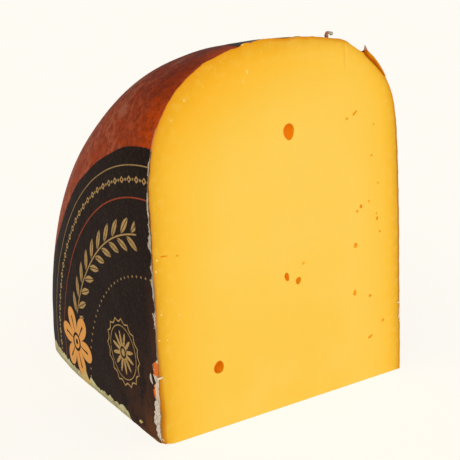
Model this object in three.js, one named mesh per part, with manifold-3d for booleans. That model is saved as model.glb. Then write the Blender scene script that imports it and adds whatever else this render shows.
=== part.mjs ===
// A quarter of a wheel of smoked cheese, stood on one of its two cut faces.
// Millimetres, +Z up. The wheel's axle lies along X at y = 0, z = 0 of the wheel group: the
// front cut is the plane y = 0, the bottom cut is the plane z = 0, and the rim arches over
// from the top front edge to the bottom back edge. The flat sides carry printed paper discs.

import * as THREE from "three";
import { mergeVertices } from "three/addons/utils/BufferGeometryUtils.js";
import Module from "manifold-3d";

const wasm = await Module();
wasm.setup();

// Driving dimensions of the wheel.
const RADIUS = 125;
const THICKNESS = 99.4;
const CREST = 44.75;

// Each flat side turns into the rim along a superellipse quarter:
// (distance from the crest plane / half thickness)^flat + (radius / wheel radius)^round = 1.
const LABEL_SIDE = { sign: -1, half: CREST, flat: 1.517, round: 9.67 };
const FAR_SIDE = { sign: 1, half: THICKNESS - CREST, flat: 2.805, round: 8.05 };

// Facets: samples of the profile on each side, and steps round a quarter of the wheel.
const PROFILE_SAMPLES = 20;
const QUARTER_STEPS = 32;

// Paper pressed on the rind.
const PAPER_GAP = 0.2;
const PAPER_THICKNESS = 0.4;
const PAPER_OUT = PAPER_GAP + PAPER_THICKNESS;
const LABEL_RADIUS = 95.1;
const LABEL_WAVE = 0.55;
const LABEL_WAVES = 16;
const LABEL_CELLS = 12;
const BAND_FROM = 33.5;
const BAND_TO = 66.5;
const FRONT_TEAR = 0.5;
const BOTTOM_TEAR = 1.3;

// Torn flap of the rind's coat at the far shoulder, by distance along the axle.
const FLAP_FROM = 83.2;
const FLAP_TO = 91.4;
const FLAP_BACK = THREE.MathUtils.degToRad(10);
const FLAP_LAP = 0.25;
const FLAP_ROOT = 0.7;
const FLAP_LIFT = 1.1;
const FLAP_SPIKE = 0.9;

// Shallow dent beside the flap, where the coat came off.
const DENT = { along: 80.2, up: 119.4, slope: 29, depth: 0.6, length: 6.8, height: 3, back: 14 };

// Curl of coat that stands on the top edge: a stem that bends over into a hook.
const CURL = { along: 68.85, up: 124.2, outer: 1.25, inner: 0.6, foot: 122.8, front: 0.3, wide: 1.2 };

// Eyes in a cut face: along the axle, away from the axle, width, height, depth, tilt (degrees).
const FRONT_EYES = [
  [51.8, 95.0, 4.1, 5.2, 3.4, 8],
  [21.7, 21.6, 3.8, 4.4, 3.2, 0],
  [22.3, 23.9, 1.3, 1.9, 2.0, -12],
  [49.6, 46.6, 1.9, 3.0, 2.4, 15],
  [54.3, 44.3, 2.4, 2.4, 2.2, 0],
  [79.2, 51.9, 1.6, 1.9, 1.8, 0],
  [78.6, 34.5, 1.7, 1.9, 1.8, 0],
  [85.5, 32.2, 2.0, 1.2, 1.6, -10],
  [85.4, 16.3, 2.5, 1.4, 1.8, -25],
  [91.3, 21.0, 1.2, 1.3, 1.4, 0],
  [81.8, 65.4, 1.3, 1.4, 1.4, 0],
  [89.1, 59.9, 1.2, 1.7, 1.5, 10],
  [78.7, 98.5, 2.2, 1.2, 1.6, -30],
];
const BOTTOM_EYES = [
  [63.0, 71.0, 3.6, 4.4, 3.0, 20],
  [30.5, 40.0, 2.2, 2.0, 2.0, 0],
  [35.0, 43.5, 1.5, 2.4, 1.8, -20],
  [74.0, 26.0, 1.7, 1.6, 1.6, 0],
  [18.0, 98.0, 1.9, 1.5, 1.6, 30],
];
const EYE_SINK = 0.3;
const EYE_WIDTH_STEPS = 12;
const EYE_HEIGHT_STEPS = 8;

// Distance of a flat side's surface along the axle, at a radius.
function sideAt(side, radius) {
  const fill = 1 - (radius / RADIUS) ** side.round;
  return CREST + side.sign * side.half * fill ** (1 / side.flat);
}

// Radius and outward slope of the rim surface at a distance along the axle.
function rimAt(along) {
  const side = along < CREST ? LABEL_SIDE : FAR_SIDE;
  const share = Math.abs(along - CREST) / side.half;
  const fill = 1 - share ** side.flat;
  const fall = (RADIUS / side.round) * fill ** (1 / side.round - 1);
  const slope = (fall * side.flat * share ** (side.flat - 1)) / side.half;
  const length = Math.hypot(1, slope);
  return {
    radius: RADIUS * fill ** (1 / side.round),
    normalAlong: (side.sign * slope) / length,
    normalOut: 1 / length,
  };
}

// A point over the rim: along the axle, an angle up from the bottom cut, and a lift off the rind.
function overRim(along, angle, lift) {
  const rim = rimAt(along);
  const radius = rim.radius + lift * rim.normalOut;
  const x = along + lift * rim.normalAlong;
  return [x, radius * Math.cos(angle), radius * Math.sin(angle)];
}

// Keeps positions alone and shares the vertices that touch.
function weld(geometry) {
  const bare = geometry.index ? geometry.clone() : mergeVertices(geometry);
  bare.deleteAttribute("normal");
  bare.deleteAttribute("uv");
  return mergeVertices(bare, 1e-5);
}

function toSolid(geometry) {
  const welded = weld(geometry);
  const vertProperties = new Float32Array(welded.attributes.position.array);
  const triVerts = new Uint32Array(welded.index.array);
  return new wasm.Manifold(new wasm.Mesh({ numProp: 3, vertProperties, triVerts }));
}

function toGeometry(solid) {
  const mesh = solid.getMesh();
  const geometry = new THREE.BufferGeometry();
  geometry.setAttribute("position", new THREE.BufferAttribute(mesh.vertProperties, 3));
  geometry.setIndex(new THREE.BufferAttribute(mesh.triVerts, 1));
  geometry.computeVertexNormals();
  return geometry;
}

// A slab of the given cells whose corners 0..1 are carried to a place by a function.
function warpedSlab(acrossCells, alongCells, place) {
  const slab = weld(new THREE.BoxGeometry(1, 1, 1, acrossCells, alongCells, 1));
  const position = slab.attributes.position;
  for (let i = 0; i < position.count; i += 1) {
    const [x, y, z] = place(position.getX(i) + 0.5, position.getY(i) + 0.5, position.getZ(i) + 0.5);
    position.setXYZ(i, x, y, z);
  }
  slab.computeVertexNormals();
  return slab;
}

// The whole wheel, turned about the axle.
function wheel() {
  const profile = [];
  for (const side of [LABEL_SIDE, FAR_SIDE]) {
    for (let i = 0; i <= PROFILE_SAMPLES; i += 1) {
      const turn = (i / PROFILE_SAMPLES) * (Math.PI / 2);
      const out = side.half * Math.cos(turn) ** (2 / side.flat);
      const radius = i === 0 ? 0 : RADIUS * Math.sin(turn) ** (2 / side.round);
      profile.push(new THREE.Vector2(radius, CREST + side.sign * (i === PROFILE_SAMPLES ? 0 : out)));
    }
  }
  const farSide = profile.splice(PROFILE_SAMPLES + 1).reverse().slice(1);
  const turned = new THREE.LatheGeometry([...profile, ...farSide], QUARTER_STEPS * 4);
  turned.rotateZ(-Math.PI / 2);
  return turned;
}

// The block that keeps the quarter above the bottom cut and behind the front cut.
function quarterBlock() {
  const reach = RADIUS * 1.2;
  const block = new THREE.BoxGeometry(reach * 2, reach, reach);
  block.translate(CREST, reach / 2, reach / 2);
  return block;
}

// An eye: an ellipsoid whose middle lies inside the cut, so that it opens there at the given
// width and height.
function eye([along, away, width, height, depth, tilt], inBottom) {
  const sink = depth * EYE_SINK;
  const reach = depth - sink;
  const grow = 1 / Math.sqrt(1 - (sink / reach) ** 2);
  const ball = new THREE.SphereGeometry(1, EYE_WIDTH_STEPS, EYE_HEIGHT_STEPS);
  ball.scale((width / 2) * grow, reach, (height / 2) * grow);
  ball.rotateY(THREE.MathUtils.degToRad(tilt));
  if (inBottom) {
    ball.rotateX(Math.PI / 2);
    ball.translate(along, away, sink);
  } else {
    ball.translate(along, sink, away);
  }
  return ball;
}

function dent() {
  const ball = new THREE.SphereGeometry(1, 24, 12);
  ball.scale(DENT.length, DENT.back, DENT.height);
  const slope = THREE.MathUtils.degToRad(DENT.slope);
  ball.rotateY(slope);
  const lift = DENT.height - DENT.depth;
  ball.translate(DENT.along + lift * Math.sin(slope), 0, DENT.up + lift * Math.cos(slope));
  return ball;
}

// The flap laps over the front edge, stands proud there with a torn spike, and sinks back
// into the rind behind.
function flap() {
  return warpedSlab(12, 6, (u, v, w) => {
    const belly = Math.sin(Math.PI * (0.06 + 0.94 * u)) ** 0.8;
    const spike = FLAP_SPIKE * Math.exp(-((u / 0.1) ** 2)) * (1 - v) ** 3;
    const lift = (FLAP_LIFT * (1 - 0.75 * u) + spike) * (1 - v) ** 1.5 - 0.25 * v;
    const root = -FLAP_ROOT * belly - 0.35;
    const angle = Math.PI / 2 + FLAP_LAP / RADIUS - v * FLAP_BACK;
    return overRim(FLAP_FROM + u * (FLAP_TO - FLAP_FROM), angle, root + w * (lift - root));
  });
}

function curl() {
  const hook = new THREE.Shape();
  const lean = 0.15;
  hook.moveTo(CURL.along - CURL.outer, CURL.foot);
  hook.absarc(CURL.along, CURL.up, CURL.outer, Math.PI, lean, true);
  hook.absarc(CURL.along, CURL.up, CURL.inner, lean, Math.PI, false);
  hook.lineTo(CURL.along - CURL.inner, CURL.foot);
  const curled = new THREE.ExtrudeGeometry(hook, {
    depth: CURL.wide,
    bevelEnabled: false,
    curveSegments: 8,
  });
  curled.rotateX(Math.PI / 2);
  curled.translate(0, CURL.front + CURL.wide, 0);
  return curled;
}

// Paste and rind are one piece: the quarter, its dent and eyes cut out, its torn coat joined on.
function cheese() {
  let solid = toSolid(wheel()).intersect(toSolid(quarterBlock()));
  solid = solid.subtract(toSolid(dent()));
  solid = solid.add(toSolid(flap())).add(toSolid(curl()));
  for (const size of FRONT_EYES) {
    solid = solid.subtract(toSolid(eye(size, false)));
  }
  for (const size of BOTTOM_EYES) {
    solid = solid.subtract(toSolid(eye(size, true)));
  }
  return toGeometry(solid);
}

// How far the torn edge of a label stands back from a cut, at a distance along that cut.
function tearAt(distance, mean, phase) {
  const slow = Math.sin(distance * 0.09 + phase);
  const quick = Math.sin(distance * 0.31 + phase * 2.3);
  return mean * (1 + 0.35 * slow + 0.15 * quick);
}

// A quarter disc of paper on a flat side. The unit square maps to the quarter disc by
// y = a sqrt(1 - b^2 / 2), z = b sqrt(1 - a^2 / 2); its round edge is slightly wavy and its
// two straight edges are torn.
function label(side) {
  return warpedSlab(LABEL_CELLS, LABEL_CELLS, (a, b, w) => {
    const back = a * Math.sqrt(1 - (b * b) / 2);
    const up = b * Math.sqrt(1 - (a * a) / 2);
    const wave = LABEL_WAVE * Math.cos(LABEL_WAVES * Math.atan2(back, up));
    const reach = LABEL_RADIUS + wave * (back * back + up * up);
    const y = back * reach + tearAt(up * reach, FRONT_TEAR, 0) * (1 - back);
    const z = up * reach + tearAt(back * reach, BOTTOM_TEAR, 4) * (1 - up);
    const rind = sideAt(side, Math.hypot(y, z));
    const inner = side.sign > 0 ? PAPER_GAP : -PAPER_OUT;
    return [rind + inner + w * PAPER_THICKNESS, y, z];
  });
}

// The paper band round the crest of the rim, from just behind one cut to just above the other.
function band() {
  const margin = 1 / RADIUS;
  return warpedSlab(8, QUARTER_STEPS, (u, v, w) => {
    const angle = Math.PI / 2 - margin - v * (Math.PI / 2 - 2 * margin);
    return overRim(BAND_FROM + u * (BAND_TO - BAND_FROM), angle, PAPER_GAP + w * PAPER_THICKNESS);
  });
}

function named(name, geometry, color, roughness) {
  const material = new THREE.MeshStandardMaterial({ color, roughness, metalness: 0 });
  const mesh = new THREE.Mesh(geometry, material);
  mesh.name = name;
  return mesh;
}

const wedge = new THREE.Group();
wedge.position.set(-THICKNESS / 2, -(RADIUS + PAPER_OUT - FLAP_LAP) / 2, 0);
wedge.add(named("cheese_wedge", cheese(), 0xf6bd45, 0.45));
wedge.add(named("label_left", label(LABEL_SIDE), 0x2b201c, 0.55));
wedge.add(named("label_right", label(FAR_SIDE), 0x2b201c, 0.55));
wedge.add(named("rim_band", band(), 0x332b27, 0.5));

export default wedge;
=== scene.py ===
"""A quarter of a wheel of smoked cheese, stood on one of its two cut faces.

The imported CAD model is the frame. The cheese, its torn coat, its printed paper labels and its
rim band are surfaces worked out here over the same wheel form, and each replaces its CAD node.

All forms are worked out in millimetres in the wheel's own frame: x runs along the axle from the
label side, y runs back from the upright cut, z runs up from the cut that the wedge rests on.
Wheel.to_row carries them to metres in the row frame.
"""

import logging
import math
from abc import ABC, abstractmethod
from dataclasses import dataclass, field
from enum import Enum
from typing import ClassVar

import bpy
import numpy as np
from mathutils import Matrix, Vector


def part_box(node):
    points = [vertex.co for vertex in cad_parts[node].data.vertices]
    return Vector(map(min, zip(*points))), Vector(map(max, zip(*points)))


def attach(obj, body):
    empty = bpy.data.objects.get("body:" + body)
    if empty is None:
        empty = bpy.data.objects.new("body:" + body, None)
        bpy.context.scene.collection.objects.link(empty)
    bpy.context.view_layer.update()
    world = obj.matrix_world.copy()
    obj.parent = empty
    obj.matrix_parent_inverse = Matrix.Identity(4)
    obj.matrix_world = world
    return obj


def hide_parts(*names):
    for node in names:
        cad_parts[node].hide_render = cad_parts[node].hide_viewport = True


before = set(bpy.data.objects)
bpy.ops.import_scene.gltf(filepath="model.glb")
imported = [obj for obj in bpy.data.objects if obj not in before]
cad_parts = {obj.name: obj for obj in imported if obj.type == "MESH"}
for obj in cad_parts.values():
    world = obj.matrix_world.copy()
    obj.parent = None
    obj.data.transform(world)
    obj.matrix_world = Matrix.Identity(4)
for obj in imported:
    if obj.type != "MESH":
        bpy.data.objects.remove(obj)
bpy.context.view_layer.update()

MM = 0.001
BODY = "root"
# The vertex attribute that holds the depth below the rind, in millimetres
RIND_DEPTH = "rind_depth"
# A face whose middle lies this near a cut's plane is part of the cut, in millimetres
ON_CUT = 2e-3
Array = np.ndarray
Piece = bpy.types.Object
Socket = bpy.types.NodeSocket
Pair = tuple[float, float]
Triple = tuple[float, float, float]
Colour = tuple[float, float, float, float]
# A mask, and the colour or colour socket that it lays over what is below
Tint = tuple["Shade", object]

log = logging.getLogger("cheese")


def srgb(red: float, green: float, blue: float) -> Colour:
    """A display colour as linear light.

    Args:
        red: Red from 0 to 255.
        green: Green from 0 to 255.
        blue: Blue from 0 to 255.

    Returns:
        Linear red, green and blue, with an alpha of 1.
    """
    shares = [part / 255 for part in (red, green, blue)]
    lights = [s / 12.92 if s <= 0.04045 else ((s + 0.055) / 1.055) ** 2.4 for s in shares]
    return (*lights, 1.0)


# ---- Shader expressions


class Shade:
    """One float socket of a material, usable in Python expressions.

    Attributes:
        tree: The material that it belongs to.
        socket: The socket.
    """

    def __init__(self, tree: "Finish", socket: Socket) -> None:
        """Wraps a socket of a finish's node tree."""
        self.tree = tree
        self.socket = socket

    def __add__(self, other: "Shade | float") -> "Shade":
        """Sum."""
        return self.tree.math("ADD", self, other)

    def __sub__(self, other: "Shade | float") -> "Shade":
        """Difference."""
        return self.tree.math("SUBTRACT", self, other)

    def __rsub__(self, other: float) -> "Shade":
        """Difference from a number."""
        return self.tree.math("SUBTRACT", other, self)

    def __mul__(self, other: "Shade | float") -> "Shade":
        """Product."""
        return self.tree.math("MULTIPLY", self, other)

    def __truediv__(self, other: "Shade | float") -> "Shade":
        """Quotient."""
        return self.tree.math("DIVIDE", self, other)

    def __rtruediv__(self, other: float) -> "Shade":
        """A number over this value."""
        return self.tree.math("DIVIDE", other, self)

    def __pow__(self, other: "Shade | float") -> "Shade":
        """Power."""
        return self.tree.math("POWER", self, other)

    def __abs__(self) -> "Shade":
        """Size without sign."""
        return self.tree.math("ABSOLUTE", self)

    __radd__ = __add__
    __rmul__ = __mul__

    def least(self, other: "Shade | float") -> "Shade":
        """The lower of two values."""
        return self.tree.math("MINIMUM", self, other)

    def most(self, other: "Shade | float") -> "Shade":
        """The higher of two values."""
        return self.tree.math("MAXIMUM", self, other)

    def part(self) -> "Shade":
        """What is left above the whole number below."""
        return self.tree.math("FRACT", self)

    def sine(self) -> "Shade":
        """Sine of a value in radians."""
        return self.tree.math("SINE", self)

    def root(self) -> "Shade":
        """Square root."""
        return self.tree.math("SQRT", self)

    def above(self, edge: float, soft: float) -> "Shade":
        """Rises smoothly from 0 to 1.

        Args:
            edge: The value at which it is half way.
            soft: How far to either side of it the rise reaches.

        Returns:
            The risen value.
        """
        settings = {"interpolation_type": "SMOOTHSTEP", "clamp": True}
        inputs = {"Value": self, "From Min": edge - soft, "From Max": edge + soft}
        return self.tree.value("ShaderNodeMapRange", settings, inputs, "Result")

    def below(self, edge: float, soft: float) -> "Shade":
        """Falls smoothly from 1 to 0 over edge - soft to edge + soft."""
        return 1 - self.above(edge, soft)

    def within(self, low: float, high: float, soft: float) -> "Shade":
        """1 between low and high, and 0 outside, with soft edges."""
        return self.above(low, soft) * self.below(high, soft)


class Finish:
    """A procedural material under construction: a node tree with one main shader.

    Attributes:
        wheel: The wheel whose frame the patterns are laid out in.
        material: The material.
        shader: Its main shader.
        place: The shaded point in millimetres in the wheel's frame.
        x: Its place along the axle.
        y: How far it lies behind the upright cut.
        z: Its height above the bottom cut.
        radius: Its distance from the axle.
        angle: Its angle up from the bottom cut, in radians.
    """

    def __init__(self, name: str, wheel: "Wheel") -> None:
        """Starts an empty material.

        Args:
            name: The material's name.
            wheel: The wheel that the piece belongs to.
        """
        self.wheel = wheel
        self.material = bpy.data.materials.new(name)
        self.material.use_nodes = True
        self.nodes = self.material.node_tree.nodes
        self.nodes.clear()
        output = self.nodes.new("ShaderNodeOutputMaterial")
        self.shader = self.nodes.new("ShaderNodeBsdfPrincipled")
        self.material.node_tree.links.new(self.shader.outputs[0], output.inputs["Surface"])
        coordinates = self.nodes.new("ShaderNodeTexCoord").outputs["Object"]
        shifted = self.vector("SUBTRACT", {0: coordinates, 1: wheel.origin})
        self.place = self.vector("SCALE", {0: shifted, "Scale": 1 / MM})
        split = self.node("ShaderNodeSeparateXYZ", {}, {"Vector": self.place})
        self.x, self.y, self.z = (Shade(self, split.outputs[i]) for i in range(3))
        self.radius, self.angle = self.around(0.0, 0.0)

    def connect(self, target: Socket, wanted: object) -> None:
        """Links a value or a socket to a target, or sets the target to a number or colour.

        Args:
            target: The socket to feed.
            wanted: What it is fed.
        """
        if isinstance(wanted, Shade):
            wanted = wanted.socket
        if isinstance(wanted, Socket):
            self.material.node_tree.links.new(wanted, target)
        else:
            target.default_value = wanted

    def node(self, kind: str, settings: dict, inputs: dict) -> bpy.types.Node:
        """Adds a node.

        Args:
            kind: The node's type.
            settings: Its properties, set first.
            inputs: Values or links for its sockets, by name or place.

        Returns:
            The new node.
        """
        made = self.nodes.new(kind)
        for name, setting in settings.items():
            setattr(made, name, setting)
        for name, wanted in inputs.items():
            self.connect(made.inputs[name], wanted)
        return made

    def value(self, kind: str, settings: dict, inputs: dict, output: str) -> Shade:
        """Adds a node and wraps one of its outputs."""
        return Shade(self, self.node(kind, settings, inputs).outputs[output])

    def math(self, operation: str, *operands: Shade | float) -> Shade:
        """Adds a Math node for an operation on one or two values."""
        return self.value("ShaderNodeMath", {"operation": operation}, dict(enumerate(operands)), "Value")

    def vector(self, operation: str, inputs: dict) -> Socket:
        """Adds a Vector Math node and returns its vector output."""
        return self.node("ShaderNodeVectorMath", {"operation": operation}, inputs).outputs["Vector"]

    def joined(self, x: Shade | float, y: Shade | float, z: Shade | float) -> Socket:
        """A vector from three values."""
        return self.node("ShaderNodeCombineXYZ", {}, {"X": x, "Y": y, "Z": z}).outputs["Vector"]

    def around(self, back: float, up: float) -> tuple[Shade, Shade]:
        """Distance from the line along the axle at a place back and up, and the angle about it."""
        across, rise = self.y - back, self.z - up
        return (across * across + rise * rise).root(), self.math("ARCTAN2", rise, across)

    def beat(self, radius: float, pitch: float, shift: Shade | float = 0.0) -> Shade:
        """Millimetres along an arc from the nearest of even marks, moved by a share of the pitch."""
        return ((self.angle * (radius / pitch) + shift).part() - 0.5) * pitch

    def over_rim(self, stretch: float) -> Socket:
        """Millimetres along the axle, outwards and round the rim, the first two over stretch."""
        return self.joined(self.x / stretch, self.radius / stretch, self.angle * self.wheel.radius)

    def noise(self, size: float, detail: float = 3.0, at: object = None, roughness: float = 0.55) -> Shade:
        """Soft noise from 0 to 1.

        Args:
            size: Size of its largest features in millimetres.
            detail: Octaves of finer noise.
            at: Where to read it, in millimetres, or None for the wheel's frame.
            roughness: How strong the finer octaves are.

        Returns:
            The noise value.
        """
        inputs = {
            "Vector": at if at is not None else self.place,
            "Scale": 1 / size,
            "Detail": detail,
            "Roughness": roughness,
        }
        return self.value("ShaderNodeTexNoise", {"noise_dimensions": "3D"}, inputs, "Fac")

    def mix(self, mask: Shade | float, first: object, second: object) -> Socket:
        """Mixes two colours.

        Args:
            mask: 0 for the first colour, 1 for the second.
            first: A colour or its socket.
            second: Another.

        Returns:
            The mixed colour.
        """
        made = self.node("ShaderNodeMix", {"data_type": "RGBA"}, {"Factor": mask})
        colours = [s for s in made.inputs if s.type == "RGBA"]
        for target, wanted in zip(colours, (first, second)):
            self.connect(target, wanted)
        return next(s for s in made.outputs if s.type == "RGBA")

    def layers(self, colour: object, tints: list[Tint]) -> object:
        """Lays tints over a colour in turn.

        Args:
            colour: The ground.
            tints: Pairs of mask and colour, the lowest first.

        Returns:
            The resulting colour.
        """
        for mask, tint in tints:
            colour = self.mix(mask, colour, tint)
        return colour

    def ramp(self, value: Shade, span: float, stops: tuple[tuple[float, Colour], ...]) -> object:
        """A colour read from stops over 0 to span.

        Args:
            value: Where to read.
            span: The value at the ramp's end.
            stops: Pairs of value and colour, rising.

        Returns:
            The colour socket.
        """
        made = self.node("ShaderNodeValToRGB", {}, {"Fac": value / span})
        elements = made.color_ramp.elements
        for _ in range(len(stops) - len(elements)):
            elements.new(1.0)
        for element, (at, colour) in zip(elements, stops):
            element.position = at / span
            element.color = colour
        return made.outputs["Color"]

    def bump(self, height: Shade, strength: float = 1.0) -> None:
        """Feeds a height in millimetres to the shader's normal."""
        inputs = {"Height": height * MM, "Distance": 1.0, "Strength": strength}
        self.feed({"Normal": self.node("ShaderNodeBump", {}, inputs).outputs["Normal"]})

    def feed(self, inputs: dict[str, object]) -> None:
        """Links or sets sockets of the main shader."""
        for name, wanted in inputs.items():
            self.connect(self.shader.inputs[name], wanted)

    def skin(self, colour: object, roughness: Shade | float, gloss: float) -> None:
        """Sets the main shader's colour, its roughness and the strength of its gloss."""
        self.feed({"Base Color": colour, "Roughness": roughness, "Specular IOR Level": gloss})


# ---- The wheel's form


@dataclass(frozen=True)
class FlatSide:
    """One flat side of the wheel and its turn into the rim.

    The outline is (distance from the crest plane / half) ^ flat
    + (radius / wheel radius) ^ rounding = 1.

    Attributes:
        sign: -1 for the label side, 1 for the far side.
        half: Distance of the side's middle from the crest plane.
        flat: Exponent along the axle.
        rounding: Exponent across it.
    """

    sign: int
    half: float
    flat: float
    rounding: float


@dataclass(frozen=True)
class Swell:
    """A gentle bump, hollow or worn corner of the real wheel.

    Attributes:
        centre: Its middle.
        size: Distance at which it has fallen to 1 / e.
        shift: How far its middle stands off the even form.
    """

    centre: Triple
    size: float
    shift: Triple


@dataclass(frozen=True)
class Wheel:
    """The wheel that the quarter is cut from, in millimetres in its own frame.

    Attributes:
        origin: Where the axle meets the label side, in metres in the row frame.
        thickness: Length along the axle.
        radius: Radius at the crest of the rim.
        crest: Distance of the crest from the label side.
        waves: How many slight waves run over its surface.
        wave_lengths: Their shortest and longest wavelength.
        wave_height: How far a wave of middling length stands off the even form.
        wave_seed: Picks their lengths, directions and phases.
        swells: The larger bumps and hollows.
    """

    origin: Triple
    thickness: float
    radius: float = 125.0
    crest: float = 44.75
    waves: int = 14
    wave_lengths: Pair = (14.0, 70.0)
    wave_height: float = 0.025
    wave_seed: int = 20
    swells: tuple[Swell, ...] = (
        # The rim and its shoulder behind the upright cut
        Swell((25.0, 38.0, 115.0), 24.0, (-0.15, 0.2, 0.65)),
        Swell((46.0, 21.0, 123.0), 20.0, (0.0, -0.1, -1.15)),
        Swell((37.0, 25.0, 121.5), 7.0, (0.0, 0.0, 0.32)),
        Swell((46.0, 12.0, 124.0), 6.0, (0.0, 0.0, -0.22)),
        Swell((75.0, 0.0, 121.5), 7.0, (0.2, 0.0, 0.6)),
        Swell((14.0, 57.0, 99.0), 22.0, (0.3, -0.2, -0.3)),
        Swell((6.0, 90.0, 50.0), 55.0, (0.32, -0.2, 0.0)),
        # The upright cut's edge along the label side, then along the far side
        Swell((0.0, 0.0, 84.0), 6.0, (-0.32, 0.0, 0.0)),
        Swell((0.0, 0.0, 91.5), 4.5, (0.12, 0.0, 0.0)),
        Swell((0.0, 0.0, 70.0), 9.0, (0.18, 0.0, 0.0)),
        Swell((0.0, 0.0, 51.0), 7.0, (0.26, 0.0, 0.0)),
        Swell((0.0, 0.0, 33.0), 7.0, (-0.18, 0.0, 0.0)),
        Swell((0.0, 0.0, 19.0), 3.5, (-0.25, 0.0, 0.0)),
        Swell((0.0, 0.0, 11.0), 4.5, (0.35, 0.0, 0.0)),
        Swell((14.5, 0.0, 115.0), 5.1, (0.15, 0.0, -0.17)),
        Swell((7.6, 0.0, 107.0), 8.5, (0.48, 0.0, -0.31)),
        Swell((94.0, 0.0, 104.0), 12.0, (0.4, 0.0, 0.25)),
        Swell((99.0, 0.0, 76.0), 22.0, (-0.5, 0.0, 0.0)),
        Swell((99.0, 0.0, 6.0), 24.0, (0.6, 0.0, 0.0)),
        # The foot of the label side and the worn corner at the axle
        Swell((2.0, 86.0, 0.0), 15.0, (0.9, -0.2, 0.0)),
        Swell((0.0, 0.0, 0.0), 2.2, (0.5, 0.0, 0.8)),
    )

    @classmethod
    def from_frame(cls, node: str) -> "Wheel":
        """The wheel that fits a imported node, whose back edge is one radius behind the axle."""
        low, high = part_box(node)
        return cls((low.x, high.y - cls.radius * MM, low.z), (high.x - low.x) / MM)

    @property
    def sides(self) -> tuple[FlatSide, FlatSide]:
        """The label side and the far side."""
        label = FlatSide(sign=-1, half=self.crest, flat=1.517, rounding=9.67)
        far = FlatSide(sign=1, half=self.thickness - self.crest, flat=2.805, rounding=8.05)
        return label, far

    def to_row(self, points: Array) -> Array:
        """Points of the wheel's frame in metres in the row frame."""
        return points * MM + np.array(self.origin)

    def from_row(self, points: Array) -> Array:
        """Points of the row frame in millimetres in the wheel's frame."""
        return (points - np.array(self.origin)) / MM

    def carried(self, points: Array) -> Array:
        """Points moved by the swells: each adds its shift times exp(-(distance / size)^2).

        Args:
            points: Points, one a row.

        Returns:
            The moved points.
        """
        moved = points.copy()
        for swell in self.swells:
            square = ((points - np.array(swell.centre)) ** 2).sum(-1, keepdims=True)
            moved += np.exp(-square / swell.size**2) * np.array(swell.shift)
        return moved

    def outline(self, count: int) -> tuple[Array, Array]:
        """The profile from one side's middle over the crest to the other's, in even steps.

        Each half is u = cos(a)^(2 / flat), w = sin(a)^(2 / rounding) for a from 0 to 90 degrees,
        with u times the half thickness along the axle and w times the radius across it. It is
        worked out in many fine steps, which are then spaced evenly.

        Args:
            count: How many points.

        Returns:
            Their places along the axle and their radii.
        """
        fine_steps = 4000
        turn = np.linspace(0, math.pi / 2, fine_steps)
        halves = []
        for side in self.sides:
            out = np.cos(turn).clip(0) ** (2 / side.flat) * side.half
            across = np.sin(turn) ** (2 / side.rounding) * self.radius
            halves.append(np.stack([self.crest + side.sign * out, across], 1))
        path = np.concatenate([halves[0], halves[1][::-1]])
        steps = np.linalg.norm(np.diff(path, axis=0), axis=1)
        length = np.concatenate([[0], np.cumsum(steps)])
        even = np.linspace(0, length[-1], count)
        return np.interp(even, length, path[:, 0]), np.interp(even, length, path[:, 1])

    def _shares(self, along: Array, across: Array) -> tuple[Array, ...]:
        """Each point's u and w, and the flat side's numbers, picked by the side that it lies on.

        Args:
            along: Places along the axle.
            across: Radii.

        Returns:
            u, w, flat, rounding and half.
        """
        label, far = self.sides
        left = along < self.crest
        half = np.where(left, label.half, far.half)
        flat = np.where(left, label.flat, far.flat)
        rounding = np.where(left, label.rounding, far.rounding)
        share = (np.abs(along - self.crest) / half).clip(0, 1)
        return share, (across / self.radius).clip(0, 1), flat, rounding, half

    def side_at(self, side: FlatSide, across: Array) -> Array:
        """Place along the axle of a flat side's surface at a radius."""
        fill = (1 - (across / self.radius).clip(0, 1) ** side.rounding).clip(0)
        return self.crest + side.sign * side.half * fill ** (1 / side.flat)

    def rim_at(self, along: Array) -> Array:
        """Radius of the rim's surface at a place along the axle."""
        share, _, flat, rounding, _ = self._shares(along, np.zeros_like(along))
        return self.radius * (1 - share**flat).clip(0) ** (1 / rounding)

    def outward(self, along: Array, across: Array) -> tuple[Array, Array]:
        """The surface's outward direction: the gradient of the flat side's outline.

        Args:
            along: Places along the axle on the even form.
            across: Their radii.

        Returns:
            The direction's parts along the axle and across it.
        """
        share, rise, flat, rounding, half = self._shares(along, across)
        slope_along = np.sign(along - self.crest) * flat * share ** (flat - 1) / half
        slope_across = rounding * rise ** (rounding - 1) / self.radius
        length = np.hypot(slope_along, slope_across).clip(1e-9)
        return slope_along / length, slope_across / length

    def unevenness(self, points: Array) -> Array:
        """How far the real surface stands off the even form, in millimetres.

        A sum of sines of seeded wavelength, direction and phase, with heights in proportion to
        their wavelengths.

        Args:
            points: Points, one a row.

        Returns:
            One height a point.
        """
        chance = np.random.default_rng(self.wave_seed)
        total = np.zeros(len(points))
        for _ in range(self.waves):
            length = chance.uniform(*self.wave_lengths)
            way = chance.normal(size=3)
            way *= 2 * math.pi / length / np.linalg.norm(way)
            height = self.wave_height * length / np.mean(self.wave_lengths)
            total += height * np.sin(points @ way + chance.uniform(0, 2 * math.pi))
        return total

    def depth(self, points: Array) -> Array:
        """How far points lie below the outer surface, in millimetres.

        With a the distance to it along the axle and b the distance across, the depth is
        a b / sqrt(a^2 + b^2), which is exact below a flat surface, plus the unevenness.

        Args:
            points: Points, one a row.

        Returns:
            One depth a point.
        """
        along, across = points[:, 0], np.hypot(points[:, 1], points[:, 2])
        share, rise, flat, rounding, half = self._shares(along, across)
        to_side = half * ((1 - rise**rounding).clip(0) ** (1 / flat) - share)
        to_rim = self.radius * ((1 - share**flat).clip(0) ** (1 / rounding) - rise)
        to_side, to_rim = to_side.clip(0), to_rim.clip(0)
        return to_side * to_rim / np.hypot(to_side, to_rim).clip(1e-9) + self.unevenness(points)

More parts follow.
